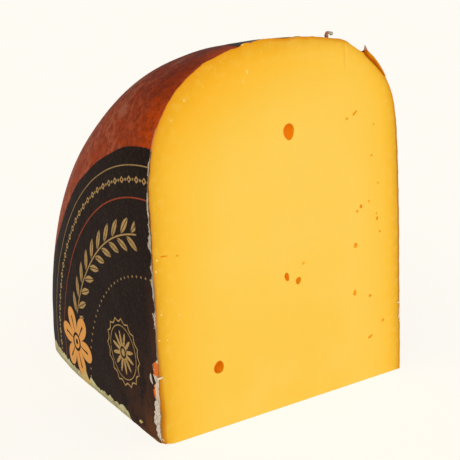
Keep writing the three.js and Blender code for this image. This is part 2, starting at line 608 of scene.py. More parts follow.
    def surface(self, along: Array, across: Array, angle: Array, lift: Array | float) -> Array:
        """Points over the outer surface.

        Args:
            along: Places along the axle on the even form.
            across: Their radii.
            angle: Angles up from the bottom cut, in radians.
            lift: How far the points stand off the uneven surface.

        Returns:
            One point a row.
        """
        back, up = np.cos(angle), np.sin(angle)
        even = np.stack([along, across * back, across * up], -1)
        out_along, out_across = self.outward(along, across)
        flat_points = even.reshape(-1, 3)
        rise = self.unevenness(flat_points).reshape(along.shape) + lift
        far = across + rise * out_across * (across > 0)
        return np.stack([along + rise * out_along, far * back, far * up], -1)


# ---- Mesh helpers


def ripple(at: Array, lengths: tuple[float, ...], seed: int) -> Array:
    """A sum of sines of the given wavelengths with seeded phases, mostly between -1 and 1.

    Args:
        at: Distances.
        lengths: Wavelengths; each sine's height is in proportion to the root of its own.
        seed: Picks the phases.

    Returns:
        The sum at each distance.
    """
    usual_gain = 1.6
    chance = np.random.default_rng(seed)
    heights = np.sqrt(np.array(lengths))
    total = np.zeros_like(at, dtype=float)
    for length, height in zip(lengths, heights):
        total += height * np.sin(2 * math.pi * at / length + chance.uniform(0, 2 * math.pi))
    return total / heights.sum() * usual_gain


def smooth_step(at: Array, low: float, high: float) -> Array:
    """3 s^2 - 2 s^3, with s the share of the way from low to high."""
    share = ((at - low) / (high - low)).clip(0, 1)
    return share * share * (3 - 2 * share)


def bell(at: Array, centre: float, half: float) -> Array:
    """A flat-topped bell, exp(-((at - centre) / half)^4)."""
    return np.exp(-(((at - centre) / half) ** 4))


@dataclass(frozen=True)
class Fray:
    """A stretch where an edge tears or swells: its middle, half length and reach."""

    middle: float
    half: float
    reach: float

    def over(self, at: Array) -> Array:
        """Its reach times a bell of its half length, at places along the edge."""
        return self.reach * bell(at, self.middle, self.half)


def grid_triangles(rows: int, columns: int, flip: bool = False) -> Array:
    """Triangles of a grid of points, whose normal is rows cross columns unless flipped.

    Args:
        rows: Points from the first row to the last.
        columns: Points in a row.
        flip: Turns the triangles over.

    Returns:
        Corner numbers, three a row.
    """
    first = np.arange(rows * columns).reshape(rows, columns)
    a, b = first[:-1, :-1].ravel(), first[1:, :-1].ravel()
    c, d = first[1:, 1:].ravel(), first[:-1, 1:].ravel()
    triangles = np.concatenate([np.stack([a, b, c], 1), np.stack([a, c, d], 1)])
    return triangles[:, ::-1] if flip else triangles


@dataclass
class Patchwork:
    """Grids of points gathered into one closed surface.

    Attributes:
        points: The points of each grid.
        triangles: Their corner numbers, counted through all grids.
    """

    points: list[Array] = field(default_factory=list)
    triangles: list[Array] = field(default_factory=list)

    def add(self, grid: Array, flip: bool = False) -> None:
        """Adds a grid, which faces rows cross columns unless flipped.

        Args:
            grid: Rows x columns x 3 coordinates.
            flip: Turns it over.
        """
        start = sum(len(p) for p in self.points)
        self.points.append(grid.reshape(-1, 3))
        self.triangles.append(grid_triangles(grid.shape[0], grid.shape[1], flip) + start)

    def slab(self, outer: Array, inner: Array, flip: bool = False) -> None:
        """Adds a closed sheet: two grids and the four strips that join them.

        Args:
            outer: The grid that faces rows cross columns.
            inner: The grid that backs it.
            flip: Turns the sheet inside out.
        """
        self.add(outer, flip)
        self.add(inner, not flip)
        self.add(np.stack([outer[0], inner[0]]), not flip)
        self.add(np.stack([outer[-1], inner[-1]]), flip)
        self.add(np.stack([outer[:, 0], inner[:, 0]]), flip)
        self.add(np.stack([outer[:, -1], inner[:, -1]]), not flip)

    def welded(self, tolerance: float = 1e-3) -> tuple[Array, Array]:
        """The grids as one mesh.

        Args:
            tolerance: Distance within which points are merged.

        Returns:
            The merged points, and the triangles that keep three corners.
        """
        points = np.concatenate(self.points)
        keys = np.round(points / tolerance).astype(np.int64)
        _, first, place = np.unique(keys, axis=0, return_index=True, return_inverse=True)
        triangles = place.ravel()[np.concatenate(self.triangles)]
        a, b, c = triangles.T
        kept = triangles[(a != b) & (b != c) & (c != a)]
        return points[first], kept


def lumpy_ball(chance: np.random.Generator, steps: tuple[int, int], lobes: Pair,
               spout: float = 0.0) -> tuple[Array, Array, Array]:
    """A closed grid round an uneven ball of radius 1.

    With p the angle from the pole and t the turn about it, the radius is
    1 + sin(p) (a sin(2 t + phase) + b sin(3 t + phase)), plus a point where it looks up.

    Args:
        chance: Random numbers for the phases.
        steps: Steps from pole to pole and round.
        lobes: The heights a and b.
        spout: Height of the point.

    Returns:
        The grid's coordinates to the side, upwards and along the pole.
    """
    polar = np.linspace(0, math.pi, steps[0] + 1)[:, None]
    turn = np.linspace(0, 2 * math.pi, steps[1] + 1)[None, :]
    phases = chance.uniform(0, 2 * math.pi, 2)
    radius = 1 + lobes[0] * np.sin(polar) * np.sin(2 * turn + phases[0])
    radius = radius + lobes[1] * np.sin(polar) * np.sin(3 * turn + phases[1])
    radius = radius + spout * smooth_step(np.sin(polar) * np.cos(turn), 0.90, 1.0)
    across = radius * np.sin(polar)
    return across * np.sin(turn), across * np.cos(turn), radius * np.cos(polar)


def make_piece(name: str, wheel: Wheel, shape: tuple[Array, Array],
               finish: "Surfacing | None" = None) -> Piece:
    """A mesh object in the row frame, linked to the scene and smooth but for its sharp edges.

    Args:
        name: The piece's name.
        wheel: The wheel whose frame the points are in.
        shape: Points in millimetres in the wheel's frame, and triangles as corner numbers.
        finish: Its finish, or None where it is dressed later.

    Returns:
        The object.
    """
    points, triangles = shape
    mesh = bpy.data.meshes.new(name)
    mesh.vertices.add(len(points))
    mesh.vertices.foreach_set("co", wheel.to_row(points).astype(np.float32).ravel())
    mesh.loops.add(triangles.size)
    mesh.loops.foreach_set("vertex_index", triangles.astype(np.int32).ravel())
    mesh.polygons.add(len(triangles))
    mesh.polygons.foreach_set("loop_start", np.arange(0, triangles.size, 3, dtype=np.int32))
    mesh.update(calc_edges=True)
    mesh.validate()
    soften(mesh)
    if finish:
        mesh.materials.append(finish.material(wheel))
    made = bpy.data.objects.new(name, mesh)
    bpy.context.scene.collection.objects.link(made)
    return made


def soften(mesh: bpy.types.Mesh, sharp_degrees: float = 32.0) -> None:
    """Shades a mesh smooth apart from its sharp edges.

    Args:
        mesh: The mesh.
        sharp_degrees: Angle past which an edge is sharp.
    """
    mesh.polygons.foreach_set("use_smooth", np.ones(len(mesh.polygons), dtype=bool))
    mesh.set_sharp_from_angle(angle=math.radians(sharp_degrees))
    mesh.update()


def places(parts: bpy.types.bpy_prop_collection, name: str) -> Array:
    """Reads where a mesh's vertices or faces are.

    Args:
        parts: The vertices or faces.
        name: Their property that says so.

    Returns:
        One place a row.
    """
    flat = np.empty(len(parts) * 3, np.float32)
    parts.foreach_get(name, flat)
    return flat.reshape(-1, 3).astype(float)


def hand_over(piece: Piece, wheel: Wheel, slot: str, *nodes: str) -> None:
    """Gives a piece the wheel's swells, lets it ride on its body, and logs its slot.

    Args:
        piece: The finished piece.
        wheel: The wheel that it belongs to.
        slot: The record's material slot.
        nodes: The nodes that it stands for, which are hidden.
    """
    settled = wheel.to_row(wheel.carried(wheel.from_row(places(piece.data.vertices, "co"))))
    piece.data.vertices.foreach_set("co", settled.astype(np.float32).ravel())
    piece.data.update()
    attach(piece, BODY)
    if nodes:
        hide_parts(*nodes)
    log.info("%s: %d faces, slot %s", piece.name, len(piece.data.polygons), slot)


# ---- Finishes


class Surfacing(ABC):
    """A finish of one material: its tones, and how they lie over the piece."""

    title: ClassVar[str]

    @abstractmethod
    def dress(self, finish: Finish) -> None:
        """Lays colours, relief and gloss into a material under construction.

        Args:
            finish: The material.
        """

    def material(self, wheel: Wheel) -> bpy.types.Material:
        """Builds the material.

        Args:
            wheel: The wheel that the piece belongs to.

        Returns:
            The finished material.
        """
        finish = Finish(self.title, wheel)
        self.dress(finish)
        return finish.material


@dataclass(frozen=True)
class Paste(Surfacing):
    """Smooth yellow paste: deeper towards the rind, with orange painted shade inside the eyes.

    Attributes:
        stops: Depths below the rind and the colours there.
        shallow_eye_shade: Painted shade just inside an eye.
        eye: Deeper painted shade at its bottom.
        pale: The faint paler clouds, and the painted highlight beside the knife's crease.
        warm: Along the upper left of the upright cut.
        painted_low_shade: Painted shade low down in the middle.
        ochre_shade: Low down along the label side's edge, partly the coat's cut edge and partly painted
            shade, and the painted shade in the knife's crease.
        amber: The line along the top's edge.
        brown: The line along the far side's edge: the coat's cut edge darkened with painted shade.
        dusty: A nick in the top's edge.
        span: Depth at the last stop's end.
        knife_at: Place along the axle of a crease that the knife left.
        knife_span: Its lower and upper end.
        knife_lean: How far it leans for each millimetre down.
    """

    title: ClassVar[str] = "cheese paste"
    stops: tuple[tuple[float, Colour], ...] = (
        (0.0, srgb(200, 124, 30)), (0.5, srgb(218, 158, 34)), (1.0, srgb(229, 169, 37)),
        (2.0, srgb(236, 177, 39)), (2.7, srgb(241, 181, 43)), (3.7, srgb(246, 186, 48)),
        (5.1, srgb(249, 190, 52)), (7.5, srgb(252, 194, 58)), (11.0, srgb(253, 198, 64)),
        (15.0, srgb(253, 200, 70)), (24.0, srgb(254, 204, 79)), (36.0, srgb(254, 207, 86)),
    )
    shallow_eye_shade: Colour = srgb(250, 180, 22)
    eye: Colour = srgb(250, 158, 6)
    pale: Colour = srgb(254, 214, 104)
    warm: Colour = srgb(255, 174, 14)
    painted_low_shade: Colour = srgb(250, 197, 60)
    ochre_shade: Colour = srgb(206, 126, 0)
    amber: Colour = srgb(222, 132, 8)
    brown: Colour = srgb(158, 104, 44)
    dusty: Colour = srgb(168, 142, 98)
    span: float = 40.0
    knife_at: float = 74.6
    knife_span: Pair = (113.5, 121.0)
    knife_lean: float = 0.06

    def knife_line(self, finish: Finish, aside: float) -> Shade:
        """The mask of the fine crease that the knife left, or of a line that far beside it, where its painted
        shade and highlight go.
        """
        off = finish.x - self.knife_at - aside - (self.knife_span[1] - finish.z) * self.knife_lean
        return abs(off).below(0.35, 0.3) * finish.z.within(*self.knife_span, 2.0) * finish.y.below(0.4, 0.2)

    def by_depth(self, finish: Finish, depth: Shade) -> tuple[object, list[Tint]]:
        """The colour by depth below the rind, and the broad tints over it.

        The depth is read faster towards the right, which leaves the left of the cut darker as painted shade,
        slower at the upper left, and with a drift.

        Args:
            finish: The material.
            depth: Millimetres below the rind.

        Returns:
            The colour and the tints.
        """
        drift = (finish.noise(14.0, 2.0) - 0.5) * 5.0
        upper_left = finish.x.below(50.0, 30.0) * finish.z.above(98.0, 16.0)
        upper_right = finish.x.above(66.0, 16.0) * finish.z.above(100.0, 14.0)
        # Reading faster to the right leaves the left of the cut darker: painted shade
        pace = finish.x * depth.above(5.0, 5.0) * 0.010 + 0.95 - upper_left * 0.45 + upper_right * 0.6
        wander = depth * pace + drift * depth.above(6.0, 5.0)
        tints = [
            (upper_left * depth.below(14.0, 10.0) * 0.32, self.warm),
            (upper_left * depth.below(1.4, 1.2) * 0.35, self.warm),
            # Painted shade: the lower middle of the cut darker
            (finish.z.below(40.0, 35.0) * depth.above(20.0, 10.0) * 0.5, self.painted_low_shade),
        ]
        return finish.ramp(wander, self.span, self.stops), tints

    def edge_lines(self, finish: Finish, depth: Shade) -> list[Tint]:
        """The thin darker lines just under the rind; those along the label side's and the far side's edges
        are partly painted shade.

        Args:
            finish: The material.
            depth: Millimetres below the rind.

        Returns:
            The tints.
        """
        label_edge = finish.x.below(3.0, 2.0) * finish.z.below(26.0, 14.0)
        ends = (finish.z.above(90.0, 6.0) * 0.6).most(finish.z.below(13.0, 6.0))
        far_edge = finish.z.within(16.0, 94.0, 8.0) * finish.x.above(90.0, 4.0)
        top_nick = finish.z.above(110.0, 4.0) * finish.x.within(54.0, 57.0, 0.7)
        return [
            # Along the label side's edge: partly the coat's cut edge, partly painted shade
            (label_edge * depth.below(0.9, 0.8), self.ochre_shade),
            (ends * finish.x.above(44.0, 8.0) * depth.below(0.8, 0.6) * 0.65, self.amber),
            # Along the far side's edge: the coat's cut edge darkened with painted shade
            (far_edge * depth.below(0.75, 0.45) * 0.55, self.brown),
            (top_nick * depth.below(0.5, 0.3) * 0.6, self.dusty),
        ]

    def clouds(self, finish: Finish, depth: Shade) -> list[Tint]:
        """Paler clouds, grain and crumbly stretches of the cut, and the painted shade and highlight of the
        knife's crease.

        Args:
            finish: The material.
            depth: Millimetres below the rind.

        Returns:
            The tints.
        """
        broad = finish.noise(22.0, 4.0).above(0.56, 0.14) * depth.above(16.0, 8.0)
        grain = finish.noise(0.7, 2.0).above(0.66, 0.08)
        under_top = finish.z.above(108.0, 6.0) * finish.x.within(50.0, 84.0, 6.0)
        crumbly = finish.noise(2.6, 3.0).above(0.58, 0.12) * depth.below(9.0, 6.0)
        return [
            (broad * 0.25, self.pale),
            (grain * 0.10, self.pale),
            (under_top * depth.within(1.2, 7.0, 0.9) * 0.13, self.pale),
            (crumbly * depth.above(0.8, 0.5) * 0.18, self.pale),
            # The knife's crease: painted shade in it and a painted highlight beside it
            (self.knife_line(finish, 0.0) * 0.13, self.ochre_shade),
            (self.knife_line(finish, 0.9) * 0.3, self.pale),
        ]

    def dress(self, finish: Finish) -> None:
        """Lays all tints over the colour by depth, with knife marks and slow swells as relief.

        Args:
            finish: The material.
        """
        depth = finish.value("ShaderNodeAttribute", {"attribute_name": RIND_DEPTH}, {}, "Fac")
        colour, tints = self.by_depth(finish, depth)
        tints += self.edge_lines(finish, depth) + self.clouds(finish, depth)
        # The orange inside the eyes, painted shade in the holes, goes by the distance below the nearer cut
        below_cut, inside = finish.y.least(finish.z), depth.above(0.8, 0.2)
        tints += [
            (below_cut.above(0.15, 0.12) * inside, self.shallow_eye_shade),
            (below_cut.above(1.1, 0.8) * inside, self.eye),
        ]
        marks = finish.noise(1.6, 1.0, at=finish.joined(finish.x, finish.y, finish.z * 0.02))
        finish.bump(finish.noise(0.9, 3.0) * 0.03 + finish.noise(9.0, 2.0) * 0.35 + marks * 0.02, 0.6)
        finish.skin(finish.layers(colour, tints), 0.42 + finish.noise(3.0) * 0.12, 0.08)
        finish.feed({"Subsurface Weight": 0.10, "Subsurface Scale": 0.001})
        finish.feed({"Subsurface Radius": (1.0, 0.55, 0.2)})


@dataclass(frozen=True)
class Rind(Surfacing):
    """Brown-red smoked coat: maroon at the crest, lit through to red-orange beside the cut.

    Attributes:
        maroon: At the crest.
        russet: Between the crest and the flat sides.
        flank: Beside the flat sides.
        lit: Thin spots and the stretch beside the cut.
        burnt: Behind the cut's edge, next to the crest.
        amber: The top edge.
        dusty: A nick in it.
        scuff_and_sheen: Lighter grain, and the painted sheen of the streaks and patches on the rim.
        dark: Dark mottle and grain, and the painted shade in the coat's hollows and in the scratch.
        hem_and_shadow: The bare edge beside the upper part of the label, darkened as painted shadow of the
            label's edge.
        gold_hem: The same beside its middle.
        amber_hem: The same low down.
        pale_hem: The bare edge just above the label.
        base_hem: The edge along the base.
        rubs: Patches of painted highlight and sheen: how far behind the upright cut, how high, and how large.
        scratch: A scratch, darkened with painted shade: how far behind the cut, and its ends along the axle.
        strand_stretch: Length of the streaks round the rim for their width.
    """

    title: ClassVar[str] = "smoked rind"
    maroon: Colour = srgb(79, 19, 8)
    russet: Colour = srgb(121, 38, 11)
    flank: Colour = srgb(152, 55, 12)
    lit: Colour = srgb(192, 68, 0)
    burnt: Colour = srgb(92, 20, 6)
    amber: Colour = srgb(196, 126, 60)
    dusty: Colour = srgb(164, 138, 100)
    scuff_and_sheen: Colour = srgb(176, 114, 86)
    dark: Colour = srgb(66, 22, 10)
    hem_and_shadow: Colour = srgb(118, 80, 30)
    gold_hem: Colour = srgb(180, 138, 76)
    amber_hem: Colour = srgb(188, 118, 12)
    pale_hem: Colour = srgb(216, 142, 88)
    base_hem: Colour = srgb(112, 92, 54)
    rubs: tuple[Triple, ...] = ((28.6, 103.8, 3.4), (18.9, 118.6, 1.7))
    scratch: Triple = (26.2, 17.2, 20.6)
    strand_stretch: float = 8.0

    def hemmed(self, finish: Finish, colour: object, mottle: Shade) -> object:
        """Colours the coat's bare edges along both cuts; the line beside the labels' edges is partly painted
        shadow.

        Args:
            finish: The material.
            colour: The coat's colour.
            mottle: Noise that frays them.

        Returns:
            The colour with its edges.
        """
        # The line beside the labels' edges: the coat's bare edge, partly painted shadow of the label
        line = (finish.y - finish.z.below(20.0, 8.0) * 1.2).below(0.75, 0.35)
        lower = [(finish.z.below(60.0, 4.0), self.gold_hem), (finish.z.below(24.0, 4.0), self.amber_hem)]
        bare = finish.z.within(95.2, 102.0, 0.8) * (finish.y + mottle * 1.6).below(1.5, 0.4)
        top = finish.y.below(0.4, 0.3) * finish.z.above(102.0, 1.0)
        tints = [
            (line * finish.z.below(95.4, 0.4), finish.layers(self.hem_and_shadow, lower)),
            (bare * 0.9, self.pale_hem),
            (top * 0.75, self.amber),
            (top * finish.x.within(54.2, 57.0, 0.6) * 0.8, self.dusty),
            (finish.z.below(0.9, 0.3) * finish.y.above(0.5, 0.3), self.base_hem),
        ]
        return finish.layers(colour, tints)

    def sheen_and_scratch(self, finish: Finish, mottle: Shade) -> list[Tint]:
        """The painted highlight and sheen patches, and the scratch with its painted shade, on the rim's label
        side.

        Args:
            finish: The material.
            mottle: Noise that frays them.

        Returns:
            The tints.
        """
        tints = []
        # Painted highlight and sheen patches
        for back, up, size in self.rubs:
            away = abs(finish.y - back) * 0.6 + abs(finish.z - up) + mottle * 3.0
            rubbed = away.below(size + 1.0, 1.2) * finish.x.below(finish.wheel.crest, 1.0)
            tints.append((rubbed * 0.38, self.scuff_and_sheen))
        # The scratch: painted shade in a groove
        back, low, high = self.scratch
        scratch = abs(finish.y - back).below(0.8, 0.5) * finish.x.within(low, high, 1.0)
        tints.append((scratch * finish.z.above(100.0, 2.0) * 0.8, self.dark))
        return tints

    def coat(self, finish: Finish) -> tuple[object, Shade, Shade]:
        """The coat's colour away from its bare edges.

        Args:
            finish: The material.

        Returns:
            The colour, the mottling noise and the relief in millimetres.
        """
        cloud = finish.noise(9.0, 4.0)
        mottle = finish.noise(2.6, 4.0, roughness=0.65)
        grain = finish.noise(0.9, 3.0)
        strand = finish.noise(1.1, 3.0, at=finish.over_rim(self.strand_stretch))
        aside = abs(finish.x - finish.wheel.crest)
        beside = finish.y.below(7.0, 7.0)
        lit = (beside * aside.above(20.0, 20.0)).most(finish.y.below(2.0, 2.0) * 0.6)
        burnt = finish.y.within(1.0, 13.0, 3.5) * finish.x.within(9.0, 25.5, 2.5)
        glow = finish.y.below(6.5, 5.5) * finish.x.within(24.0, 38.0, 3.0)
        streaks = strand.above(0.55, 0.07) * aside.below(32.0, 8.0)
        blotches = mottle.above(0.50, 0.10) * aside.above(28.0, 8.0)
        # Streaks and blotches back from the cut: painted sheen
        worn = streaks.most(blotches) * cloud.above(0.48, 0.10) * finish.y.above(18.0, 14.0)
        tints = [
            (aside.above(18.0, 18.0), self.russet),
            (aside.above(37.0, 9.0) * 0.9, self.flank),
            (lit * (mottle + 0.2), self.lit),
            (mottle.above(0.55, 0.12) * 0.35, self.lit),
            # Darker mottle and grain: partly the coat's tone, partly painted shade in its hollows
            (mottle.below(0.42, 0.12) * 0.30, self.dark),
            (grain.above(0.60, 0.08) * 0.20, self.scuff_and_sheen),
            (grain.below(0.42, 0.06) * beside * 0.3, self.dark),
            (burnt * 0.36, self.burnt),
            (glow * 0.45, self.lit),
            (worn * 0.34, self.scuff_and_sheen),
        ]
        colour = finish.layers(self.maroon, tints + self.sheen_and_scratch(finish, mottle))
        return colour, mottle, mottle * 0.12 + cloud * 0.4 + grain * 0.08 + strand * 0.03

    def dress(self, finish: Finish) -> None:
        """Lays the coat and its bare edges, duller where it is mottled.

        Args:
            finish: The material.
        """
        colour, mottle, relief = self.coat(finish)
        finish.bump(relief, 0.8)
        finish.skin(self.hemmed(finish, colour, mottle), 0.43 + mottle * 0.14, 0.02)


@dataclass(frozen=True)
class Flake(Surfacing):
    """Torn coat: orange on its torn edge, where light comes through, and plain coat behind it.

    Attributes:
        thick: The torn edge where it is thick.
        thin: The same where it is thin.
        tip: The dry point at its torn end.
        tip_from: Height at which the point begins.
        spike_to: Place along the axle up to which the torn end stays thick.
    """

    title: ClassVar[str] = "torn coat"
    thick: Colour = srgb(176, 84, 2)
    thin: Colour = srgb(212, 126, 6)
    tip: Colour = srgb(172, 126, 98)
    tip_from: float = 118.4
    spike_to: float = 84.3

    def dress(self, finish: Finish) -> None:
        """Lays the torn edge: thin towards the outer edge and in clouds, pale at the tip.

        Args:
            finish: The material.
        """
        cloud = finish.noise(1.8, 3.0)
        wheel = finish.wheel
        far = wheel.sides[1]
        fill = ((abs(finish.x - wheel.crest) / far.half) ** far.flat).least(1.0)
        over_rim = finish.radius - (1 - fill) ** (1 / far.rounding) * wheel.radius
        thin = (over_rim * 0.6 + cloud).above(0.46, 0.2) * finish.x.above(self.spike_to, 0.4)
        coat, _, _ = Rind().coat(finish)
        tints = [
            (thin, self.thin),
            ((finish.y + cloud * 0.8).above(0.9, 0.5), coat),
            (finish.z.above(self.tip_from, 0.4), self.tip),
        ]
        finish.bump(finish.noise(0.5, 3.0) * 0.05)
        finish.skin(finish.layers(self.thick, tints), 0.5 + cloud * 0.1, 0.02)


@dataclass(frozen=True)
class DryCurl(Surfacing):
    """A dried scrap of coat: brown at its stem, grey-green where it hangs over.

    Attributes:
        brown: At its stem.
        grey: Where it hangs over.
        turns_at: Place along the axle at which one gives way to the other.
    """

    title: ClassVar[str] = "dry coat"
    brown: Colour = srgb(164, 110, 86)
    grey: Colour = srgb(176, 170, 148)
    turns_at: float = 69.0

    def dress(self, finish: Finish) -> None:
        """Lays the brown and, past a ragged border, the grey.

        Args:
            finish: The material.
        """
        cloud = finish.noise(0.8, 3.0)
        over = (finish.x + (cloud - 0.5) * 0.8).above(self.turns_at, 0.5)
        finish.bump(cloud * 0.06)
        finish.skin(finish.mix(over, self.brown, self.grey), 0.6 + cloud * 0.1, 0.1)


@dataclass(frozen=True)
class Crumb(Surfacing):
    """Dry pale paste.

    Attributes:
        pale: Its dry spots.
        deep: Its moister ones.
    """

    title: ClassVar[str] = "paste crumb"
    pale: Colour = srgb(255, 220, 128)
    deep: Colour = srgb(250, 200, 84)

    def dress(self, finish: Finish) -> None:
        """Lays both tones in small clouds.

        Args:
            finish: The material.
        """
        cloud = finish.noise(0.5, 3.0)
        finish.bump(cloud * 0.08)
        finish.skin(finish.mix(cloud, self.pale, self.deep), 0.6 + cloud * 0.1, 0.2)


@dataclass(frozen=True)
class Print(Surfacing):
    """Near-black printed paper with a generic garland in gold and orange.

    From the round edge inwards: a fine rule, a chain of diamonds and beads, a russet rule, a
    leafy branch out of a large orange flower, an arc of beads, and a petalled rosette.

    Attributes:
        black: The ground.
        fleck: Lighter flecks in it.
        warm: Browner ground near the axle and beside the upright cut.
        rust: Rubbed ground at the axle.
        gold: The fine motifs.
        orange: The flower.
        russet: The russet rule.
        olive: A rubbed spot.
        scrap: Its place, behind the upright cut and up.
        rule: Radius of the fine rule.
        chain: Radius of the chain, and the distance from diamond to diamond.
        russet_rule: Radius of the russet rule.
        branch: Radius of the branch's stem, and the distance from leaf to leaf.
        branch_span: Angles at which the branch begins and ends, in radians.
        leaf_size: Half length and half width of a leaf.
        leaf_off: Distance of its middle from the stem.
        leaf_lean: Its turn to the stem, in degrees.
        beads: Radius of the arc of beads, and the distance from bead to bead.
        rosette: Its middle, behind the upright cut and up, and its radius.
        flower: The same of the flower.
        flower_turn: Its turn, in radians.
    """

    title: ClassVar[str] = "label print"
    black: Colour = srgb(27, 15, 10)
    fleck: Colour = srgb(52, 33, 24)
    warm: Colour = srgb(74, 41, 22)
    rust: Colour = srgb(98, 56, 26)
    gold: Colour = srgb(182, 146, 90)
    orange: Colour = srgb(222, 154, 78)
    russet: Colour = srgb(150, 62, 30)
    olive: Colour = srgb(196, 170, 104)
    scrap: Pair = (15.4, 2.7)
    rule: float = 90.6
    chain: Pair = (86.2, 5.2)
    russet_rule: float = 80.6
    branch: Pair = (69.0, 7.6)
    branch_span: Pair = (0.40, 1.43)
    leaf_size: Pair = (4.3, 1.25)
    leaf_off: float = 2.9
    leaf_lean: float = 34.0
    beads: Pair = (55.5, 3.1)
    rosette: Triple = (25.5, 24.0, 12.0)
    flower: Triple = (66.5, 14.5, 13.5)
    flower_turn: float = 0.35

    def chain_mask(self, finish: Finish) -> Shade:
        """Hollow diamonds and beads in turn, with a rule outside them.

        Args:
            finish: The material.

        Returns:
            The motif's mask.
        """
        off = finish.radius - self.chain[0]
        from_diamond = abs(finish.beat(*self.chain)) * 0.7 + abs(off)
        between = finish.beat(*self.chain, shift=0.5)
        diamond = from_diamond.below(1.15, 0.12) * from_diamond.above(0.5, 0.1)
        bead = (between * between + off * off).root().below(0.5, 0.12)
        rule = abs(finish.radius - self.rule).below(0.18, 0.1) * 0.8
        return diamond.most(bead).most(rule)

    def branch_mask(self, finish: Finish) -> Shade:
        """Leaves in turn on either side of a stem that follows an arc.

        Args:
            finish: The material.

        Returns:
            The motif's mask.
        """
        off = finish.radius - self.branch[0]
        outer = off.above(0.0, 0.01)
        step = finish.beat(*self.branch, shift=outer * 0.5)
        away = abs(off) - self.leaf_off
        lean = math.radians(self.leaf_lean)
        along = step * math.cos(lean) + away * math.sin(lean)
        aside = away * math.cos(lean) - step * math.sin(lean)
        long, wide = self.leaf_size
        share = (along / long) ** 2
        blade = (abs(aside) - (1 - share) * wide).below(0.0, 0.12) * share.below(1.0, 0.02)
        vein = abs(aside).above(0.16, 0.06)
        stem = abs(off).below(0.26, 0.1)
        return (blade * vein).most(stem) * finish.angle.within(*self.branch_span, 0.01)

    def beads_mask(self, finish: Finish) -> Shade:
        """Small beads along an arc."""
        step, off = finish.beat(*self.beads), finish.radius - self.beads[0]
        return (step * step + off * off).root().below(0.42, 0.12)

    def rosette_mask(self, finish: Finish) -> Shade:
        """Twelve petals round an eye, inside a scalloped rim.

        Args:
            finish: The material.

        Returns:
            The motif's mask.
        """
        back, up, size = self.rosette
        away, turn = finish.around(back, up)
        petals = (turn * 6).sine() * (turn * 6).sine()
        leaf = (away - (petals * 5.0 + 2.6)).below(0.0, 0.25) * away.above(2.2, 0.15)
        eye = away.below(1.3, 0.15)
        scallop = abs(away - size + abs((turn * 8).sine()) * 1.2).below(0.28, 0.1)
        inner = abs(away - (size - 2.6)).below(0.16, 0.1)
        return leaf.most(eye).most(scallop).most(inner)

    def flower_mask(self, finish: Finish) -> Shade:
        """Six broad petals, each with a vein left dark, round a ringed heart.

        Args:
            finish: The material.

        Returns:
            The motif's mask.
        """
        back, up, size = self.flower
        away, turn = finish.around(back, up)
        swell = abs(((turn + self.flower_turn) * 3).sine())
        reach = (swell ** 0.55) * (size - 4.0) + 4.0
        petal = (away - reach).below(0.0, 0.2) * away.above(3.6, 0.15)
        vein = (swell - 1 + away * 0.0006).below(-0.006, 0.003).most(away.above(size * 0.74, 0.4))
        heart = away.below(2.5, 0.15) * away.above(1.1, 0.12)
        return (petal * vein).most(heart)

    def dress(self, finish: Finish) -> None:
        """Lays the ground, the garland faded in small spots, and the rubbed places.

        Args:
            finish: The material.
        """
        fine = finish.noise(1.1, 4.0)
        worn = finish.noise(0.9, 4.0)
        faded = worn.above(0.36, 0.10)
        near_tip = finish.radius.below(24.0, 22.0) * finish.noise(5.0, 4.0).above(0.45, 0.12)
        beside_cut = finish.y.below(4.5, 3.0) * finish.z.below(52.0, 12.0)
        rubs = finish.noise(2.4, 4.0).above(0.46, 0.1) * 0.45 + 0.5
        gold = self.chain_mask(finish).most(self.beads_mask(finish) * 0.8)
        gold = gold.most(self.rosette_mask(finish)).most(self.branch_mask(finish))
        aside, above = finish.y - self.scrap[0], finish.z - self.scrap[1]
        scrap = (abs(aside) * 0.5 + abs(above + aside * 0.25) + fine * 0.8).below(1.15, 0.25)
        tints = [
            (fine.above(0.55, 0.09) * 0.55, self.fleck),
            ((near_tip * 0.85).most(beside_cut * 0.55), self.warm),
            (finish.radius.below(12.0, 5.5) * rubs, self.rust),
            (abs(finish.radius - self.russet_rule).below(0.22, 0.12) * faded, self.russet),
            (gold * faded * 0.92, self.gold),
            (self.flower_mask(finish) * worn.above(0.28, 0.06), self.orange),
            (scrap * finish.x.below(finish.wheel.crest, 1.0), self.olive),
        ]
        finish.bump(finish.noise(4.0, 4.0) * 0.2 + fine * 0.05)
        finish.skin(finish.layers(self.black, tints), 0.5 + worn * 0.16, 0.03)


